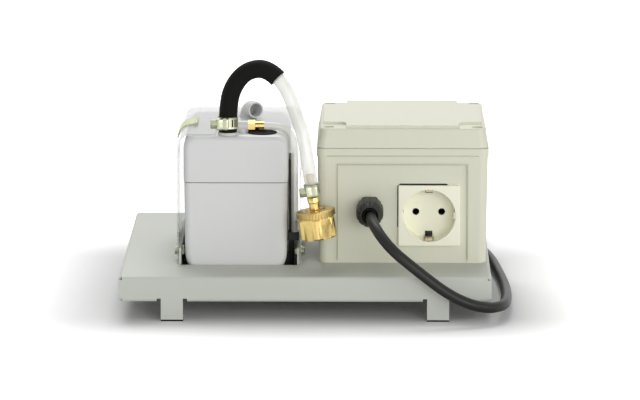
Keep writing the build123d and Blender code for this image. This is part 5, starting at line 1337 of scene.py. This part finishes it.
def fastener_tree():
    """Points with a way become fasteners that stand along it, each with its own spin."""
    tree = bpy.data.node_groups.new("fasteners_on_points", "GeometryNodeTree")
    tree.interface.new_socket("Geometry", in_out="INPUT", socket_type="NodeSocketGeometry")
    tree.interface.new_socket("Fastener", in_out="INPUT", socket_type="NodeSocketObject")
    tree.interface.new_socket("Seed", in_out="INPUT", socket_type="NodeSocketInt")
    tree.interface.new_socket("Finish", in_out="INPUT", socket_type="NodeSocketMaterial")
    tree.interface.new_socket("Geometry", in_out="OUTPUT", socket_type="NodeSocketGeometry")
    enter = tree.nodes.new("NodeGroupInput")
    leave = tree.nodes.new("NodeGroupOutput")
    info = tree.nodes.new("GeometryNodeObjectInfo")
    tree.links.new(enter.outputs["Fastener"], info.inputs["Object"])
    way = tree.nodes.new("GeometryNodeInputNamedAttribute")
    way.data_type = "FLOAT_VECTOR"
    way.inputs["Name"].default_value = "way"
    align = tree.nodes.new("FunctionNodeAlignRotationToVector")
    align.axis = "Z"
    tree.links.new(way.outputs["Attribute"], align.inputs["Vector"])
    spin = tree.nodes.new("FunctionNodeRandomValue")
    spin.data_type = "FLOAT"
    low_in = [s for s in spin.inputs if s.name == "Min" and s.type == "VALUE"][0]
    high_in = [s for s in spin.inputs if s.name == "Max" and s.type == "VALUE"][0]
    low_in.default_value = 0.0
    high_in.default_value = math.pi / 3.0
    tree.links.new(enter.outputs["Seed"], spin.inputs["Seed"])
    about = tree.nodes.new("FunctionNodeAxisAngleToRotation")
    about.inputs["Axis"].default_value = (0.0, 0.0, 1.0)
    angle_out = [s for s in spin.outputs if s.type == "VALUE"][0]
    tree.links.new(angle_out, about.inputs["Angle"])
    turn = tree.nodes.new("FunctionNodeRotateRotation")
    turn.rotation_space = "LOCAL"
    tree.links.new(align.outputs["Rotation"], turn.inputs["Rotation"])
    tree.links.new(about.outputs["Rotation"], turn.inputs["Rotate By"])
    put = tree.nodes.new("GeometryNodeInstanceOnPoints")
    tree.links.new(enter.outputs["Geometry"], put.inputs["Points"])
    tree.links.new(info.outputs["Geometry"], put.inputs["Instance"])
    tree.links.new(turn.outputs["Rotation"], put.inputs["Rotation"])
    real = tree.nodes.new("GeometryNodeRealizeInstances")
    paint_it = tree.nodes.new("GeometryNodeSetMaterial")
    tree.links.new(put.outputs["Instances"], real.inputs["Geometry"])
    tree.links.new(real.outputs["Geometry"], paint_it.inputs["Geometry"])
    tree.links.new(enter.outputs["Finish"], paint_it.inputs["Material"])
    tree.links.new(paint_it.outputs["Geometry"], leave.inputs["Geometry"])
    return tree


print("made fastener_tree")


# %% The four screws
def fasten(name, places, pattern, finish_name, body, replaced):
    """Set a fastener at each (place in millimetres, way), as one plain mesh."""
    points = bpy.data.meshes.new(name + "_points")
    points.from_pydata([Vector(place) * MM for place, _ in places], [], [])
    ways = points.attributes.new("way", "FLOAT_VECTOR", "POINT")
    for row, (_, direction) in zip(ways.data, places):
        row.vector = direction
    carrier = add_object(name, points)
    tree = fastener_tree()
    inputs = [item for item in tree.interface.items_tree if item.in_out == "INPUT"]
    socket_of = {item.name: item.identifier for item in inputs}
    modifier = carrier.modifiers.new("fasteners", "NODES")
    modifier.node_group = tree
    modifier[socket_of["Fastener"]] = pattern
    modifier[socket_of["Seed"]] = SCREW_SEED
    modifier[socket_of["Finish"]] = finishes[finish_name]
    graph = bpy.context.evaluated_depsgraph_get()
    result = bpy.data.meshes.new_from_object(carrier.evaluated_get(graph))
    carrier.modifiers.remove(modifier)
    carrier.data = result
    bpy.data.objects.remove(pattern)
    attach(carrier, body)
    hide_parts(replaced)
    print(name, len(places), "fasteners", len(result.polygons), "faces")


screws_low, screws_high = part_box("hood_screws")
screw_left = screws_low[0] / MM + SCREW_HEAD_HEIGHT
screw_right = screws_high[0] / MM - SCREW_HEAD_HEIGHT
screw_height = (screws_low[2] + screws_high[2]) / 2.0 / MM
screw_places = []
for screw_y in (screws_low[1] / MM + SCREW_HEAD, screws_high[1] / MM - SCREW_HEAD):
    screw_places.append(((screw_left, screw_y, screw_height), (-1.0, 0.0, 0.0)))
    screw_places.append(((screw_right, screw_y, screw_height), (1.0, 0.0, 0.0)))
fasten("hood_screw_set", screw_places, hood_screw, "zinc_steel", "stand", "hood_screws")


# %% [markdown]
# ## The inlet elbow
# Water comes in through a short bent spout on the pump's cover. It is a moulded tube with a thick
# wall: rings along a quarter bend, outside first and back through the bore.

# %% The spout's middle line and its rings
elbow_low, elbow_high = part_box("inlet_elbow")
SPOUT_MIDDLE = Vector((-44.0, -2.0, 0.0))
SPOUT_RADIUS = 6.1
SPOUT_BORE = 4.6
SPOUT_TURN = math.radians(27.0)
SPOUT_AXIS_Z = elbow_high[2] / MM - 6.2
SPOUT_BEND = 6.4
SPOUT_REACH = 13.0
SPOUT_BEND_STEPS = 8
SPOUT_RIM = [(-0.05, 2.6), (0.05, 2.2), (0.05, 0.4), (-0.05, 0.0)]
spout_way = Vector((math.sin(SPOUT_TURN), -math.cos(SPOUT_TURN), 0.0))
spout_side = Vector((math.cos(SPOUT_TURN), math.sin(SPOUT_TURN), 0.0))


def spout_line():
    """Places along the spout's middle with the way it runs there: up, round the bend, and out."""
    line = [(SPOUT_MIDDLE + Vector((0, 0, elbow_low[2] / MM)), Vector((0, 0, 1.0)))]
    bend_foot = SPOUT_AXIS_Z - SPOUT_BEND
    for step in range(SPOUT_BEND_STEPS + 1):
        angle = math.pi / 2.0 * step / SPOUT_BEND_STEPS
        out = SPOUT_BEND * (1.0 - math.cos(angle))
        up = bend_foot + SPOUT_BEND * math.sin(angle)
        way = Vector((0, 0, math.cos(angle))) + spout_way * math.sin(angle)
        line.append((SPOUT_MIDDLE + spout_way * out + Vector((0, 0, up)), way))
    line.append((SPOUT_MIDDLE + spout_way * SPOUT_REACH + Vector((0, 0, SPOUT_AXIS_Z)), spout_way))
    return line


def spout_ring(shape, middle, way, radius, steps=48):
    """One ring of the spout."""
    up = way.cross(spout_side)
    ring = []
    for step in range(steps):
        angle = 2.0 * math.pi * step / steps
        outwards = spout_side * math.cos(angle) + up * math.sin(angle)
        ring.append(shape.verts.new(middle + outwards * radius))
    return ring


line = spout_line()
print("rings along the spout", len(line))

# %% The spout's wall, outside and inside
shape = bmesh.new()
rings = []
mouth, mouth_way = line[-1]
for middle, way in line[:-1]:
    rings.append(spout_ring(shape, middle, way, SPOUT_RADIUS))
for proud, back in SPOUT_RIM:
    rings.append(spout_ring(shape, mouth - mouth_way * back, mouth_way, SPOUT_RADIUS + proud))
rings.append(spout_ring(shape, mouth, mouth_way, SPOUT_BORE + 0.3))
for middle, way in reversed(line[:-1]):
    rings.append(spout_ring(shape, middle, way, SPOUT_BORE))
for first, second in zip(rings, rings[1:] + rings[:1]):
    for step in range(len(first)):
        after = (step + 1) % len(first)
        shape.faces.new((first[step], first[after], second[after], second[step]))
new_piece(
    "spout", shape, Matrix.Scale(MM, 4), "pump_plastic", "stand", "inlet_elbow", slot="white_plastic"
)


# %% [markdown]
# ## Small pieces that draw the edges and the painted shade
# Some small pieces are an outline with a thickness, so one helper makes them: it lays the outline
# down twice, walls it in and rounds the two rims. They are a clip, and a channel, an edge, two beads
# and two slots whose dark colour is painted shade.

# %% An outline with a thickness
def extruded(outline, low, high, rim):
    """A closed outline in x and y, made solid along z, with both rims rounded."""
    shape = bmesh.new()
    foot = [shape.verts.new((x, y, low)) for x, y in outline]
    head = [shape.verts.new((x, y, high)) for x, y in outline]
    caps = [shape.faces.new(foot), shape.faces.new(head)]
    for step in range(len(outline)):
        after = (step + 1) % len(outline)
        shape.faces.new((foot[step], foot[after], head[after], head[step]))
    rims = [edge for cap in caps for edge in cap.edges]
    bmesh.ops.bevel(shape, geom=rims, offset=rim, segments=2, profile=0.5, affect="EDGES")
    return shape


print("made extruded")

# %% [markdown]
# The spring clip is a strip of sheet bent round the hood's shoulder, with a curled lip that a finger
# can lift. Its outline is the strip seen from the front, made solid along its width.

# %% Spring clip on the hood
CLIP_MIDDLE = (-84.4, 120.0)
CLIP_INNER = 10.03
CLIP_SHEET = 1.0
CLIP_FROM = 15.0
CLIP_TO = 43.0
CLIP_STEPS = 12
CLIP_LIP = [
    (-82.4, 131.1),
    (-81.9, 131.9),
    (-81.1, 132.1),
    (-80.5, 131.5),
    (-80.5, 130.6),
    (-80.9, 130.03),
]


def clip_arc(radius):
    """A quarter of a circle round the hood's bend, from its side to its top."""
    places = []
    middle_x, middle_z = CLIP_MIDDLE
    for step in range(CLIP_STEPS + 1):
        angle = math.pi * (1.0 - 0.5 * step / CLIP_STEPS)
        places.append((middle_x + radius * math.cos(angle), middle_z + radius * math.sin(angle)))
    return places


clip_outline = clip_arc(CLIP_INNER + CLIP_SHEET) + CLIP_LIP + clip_arc(CLIP_INNER)[::-1]
upright_place = stand((0, 0, 0), FRONT, (1, 0, 0))
shape = extruded(clip_outline, CLIP_FROM, CLIP_TO, 0.2)
new_piece("spring_clip", shape, upright_place, "pale_clip", "stand", "hood_clip")

# %% [markdown]
# A black channel stands behind the clear level tube, beside the pump's right side. Its black is painted
# shade: it darkens the narrow gap between the pump and the hood, where shade falls, and shows through
# the clear tube. It is a moulded strip with two lips, the same all the way up.

# %% Black channel of painted shade behind the level tube
CHANNEL_OUTLINE = [
    (-12.95, -52.0),
    (-9.8, -52.0),
    (-9.6, -51.6),
    (-9.8, -50.8),
    (-11.9, -50.6),
    (-11.9, -25.4),
    (-9.8, -25.2),
    (-9.6, -24.4),
    (-9.8, -24.0),
    (-12.95, -24.0),
]
CHANNEL_FOOT = 19.75
CHANNEL_TOP = 106.0
shape = extruded(CHANNEL_OUTLINE, CHANNEL_FOOT, CHANNEL_TOP, 0.3)
# The channel's black is painted shade in the gap between the pump and the hood.
new_piece("level_channel", shape, Matrix.Scale(MM, 4), "black_plastic", "stand")

# %% [markdown]
# A thin black edge on the panel, left of the socket and over it, is painted shade: it darkens the
# panel where the socket's plate stands off it and shade falls.

# %% Black edge of painted shade beside and over the socket
socket_low, socket_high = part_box("socket_insert")
shade_edge_left = socket_low[0] / MM - 0.7
shade_edge_top = socket_high[2] / MM + 1.0
SHADE_EDGE_OUTLINE = [
    (shade_edge_left, shade_edge_top - 32.0),
    (shade_edge_left + 2.4, shade_edge_top - 34.0),
    (shade_edge_left + 2.4, shade_edge_top - 2.4),
    (shade_edge_left + 39.0, shade_edge_top - 2.4),
    (shade_edge_left + 36.0, shade_edge_top),
    (shade_edge_left + 2.0, shade_edge_top),
    (shade_edge_left, shade_edge_top - 2.0),
]
shape = extruded(SHADE_EDGE_OUTLINE, 0.0, 0.35, 0.1)
shade_edge_place = stand((0, PANEL_FACE, 0), FRONT, (1, 0, 0))
# The edge's black is painted shade beside and over the socket's plate.
new_piece("cut_out_edge", shape, shade_edge_place, "black_rubber", "stand")

# %% [markdown]
# The box is moulded, and two low beads stand on its face: one runs round the panel at both sides and
# over the top, and one runs under the lid's joint. They stand a fifth of a millimetre proud, and their
# darker tone is painted shade: the shaded line of the panel's rounded edge and the shadow under the joint.

# %% Beads on the box, in painted shade: round the panel, and under the lid's joint
BOX_FACE = -74.3
BEAD_PROUD = 0.22
BEAD_WIDTH = 0.8
PANEL_LEFT = 23.5
PANEL_RIGHT = 118.2
PANEL_TOP = 105.7
PANEL_FOOT = 35.0
LIP_LEFT = 15.0
LIP_RIGHT = 127.0
LIP_HEIGHT = 112.0
panel_outline = [
    (PANEL_LEFT - BEAD_WIDTH, PANEL_FOOT),
    (PANEL_LEFT, PANEL_FOOT),
    (PANEL_LEFT, PANEL_TOP),
    (PANEL_RIGHT, PANEL_TOP),
    (PANEL_RIGHT, PANEL_FOOT),
    (PANEL_RIGHT + BEAD_WIDTH, PANEL_FOOT),
    (PANEL_RIGHT + BEAD_WIDTH, PANEL_TOP + BEAD_WIDTH),
    (PANEL_LEFT - BEAD_WIDTH, PANEL_TOP + BEAD_WIDTH),
]
lip_outline = [
    (LIP_LEFT, LIP_HEIGHT),
    (LIP_RIGHT, LIP_HEIGHT),
    (LIP_RIGHT - 1.0, LIP_HEIGHT + BEAD_WIDTH),
    (LIP_LEFT + 1.0, LIP_HEIGHT + BEAD_WIDTH),
]
face_place = stand((0, BOX_FACE, 0), FRONT, (1, 0, 0))
# The beads' darker finish is painted shade.
for bead_name, bead_outline in (("panel_bead", panel_outline), ("box_lip", lip_outline)):
    shape = extruded(bead_outline, 0.0, BEAD_PROUD, 0.08)
    new_piece(bead_name, shape, face_place, "painted_shade_edge", "stand", slot="box_plastic")

# %% [markdown]
# The earth clips come out of the socket's floor through two slots. Each slot is drawn as a thin dark
# block on that floor: painted shade for the slot's depth, which the eye can't see into.

# %% Painted shade of the slots behind the earth clips, in the floor of the socket's recess
RECESS_FLOOR = -58.3
SLOT_HALF = 2.7
SLOT_LOW = (50.2, 53.9)
SLOT_HIGH = (82.4, 84.6)
socket_middle = (socket_low[0] + socket_high[0]) / 2.0 / MM
recess_place = stand((socket_middle, RECESS_FLOOR, 0), FRONT, (1, 0, 0))
# Each dark block is painted shade for a slot's depth.
for slot_name, (slot_foot, slot_head) in (("clip_slot_low", SLOT_LOW), ("clip_slot_high", SLOT_HIGH)):
    slot_outline = [
        (-SLOT_HALF, slot_foot),
        (SLOT_HALF, slot_foot),
        (SLOT_HALF, slot_head),
        (-SLOT_HALF, slot_head),
    ]
    shape = extruded(slot_outline, 0.0, 0.25, 0.08)
    new_piece(slot_name, shape, recess_place, "black_plastic", "stand")

# %% [markdown]
# A flat black ring lies on the cover round the brass elbow's foot. Its black is painted shade: it
# darkens the cover under the elbow and the tube, where shade falls. It is round, so it is turned.

# %% Black ring of painted shade under the brass elbow
SHADE_RING_MIDDLE = (-32.0, -65.5, 128.12)
SHADE_RING_RADIUS = 10.8
shape = bmesh.new()
turned(
    shape,
    [
        (3.0, 0.0),
        (SHADE_RING_RADIUS - 0.2, 0.0),
        (SHADE_RING_RADIUS, 0.3),
        (SHADE_RING_RADIUS - 0.5, 0.8),
        (SHADE_RING_RADIUS - 2.4, 1.1),
        (SHADE_RING_RADIUS - 3.0, 0.8),
        (5.4, 0.8),
        (5.0, 1.2),
        (3.4, 1.3),
        (3.0, 1.0),
    ],
    steps=72,
)
shade_ring_place = stand(SHADE_RING_MIDDLE, (0, 0, 1), (1, 0, 0))
# The ring's black is painted shade under the brass elbow and the tube.
new_piece("elbow_grommet", shape, shade_ring_place, "black_rubber", "stand")


# %% [markdown]
# ## Putting the cords in place
# Each cord rides on the stand and takes over from its solids, and the hose's and the tube's lengths are measured.


def dress_cord(cord, finish_name, *replaced):
    """Give a cord its finish and let it stand for its solids."""
    cord.data.materials.append(finishes[finish_name])
    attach(cord, "stand")
    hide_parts(*replaced)


dress_cord(mains_cable, "cable_jacket", "mains_cable", "mains_coil")
dress_cord(discharge_hose, "clear_hose", "discharge_hose")
dress_cord(sleeve, "black_rubber", "insulating_sleeve")
dress_cord(level_tube, "clear_hose", "level_tube")
HOSE_LENGTH = spline_length(discharge_hose)
TUBE_LENGTH = spline_length(level_tube)
print("cords declared, in metres", round(HOSE_LENGTH, 4), round(TUBE_LENGTH, 4), round(cable_length, 4))
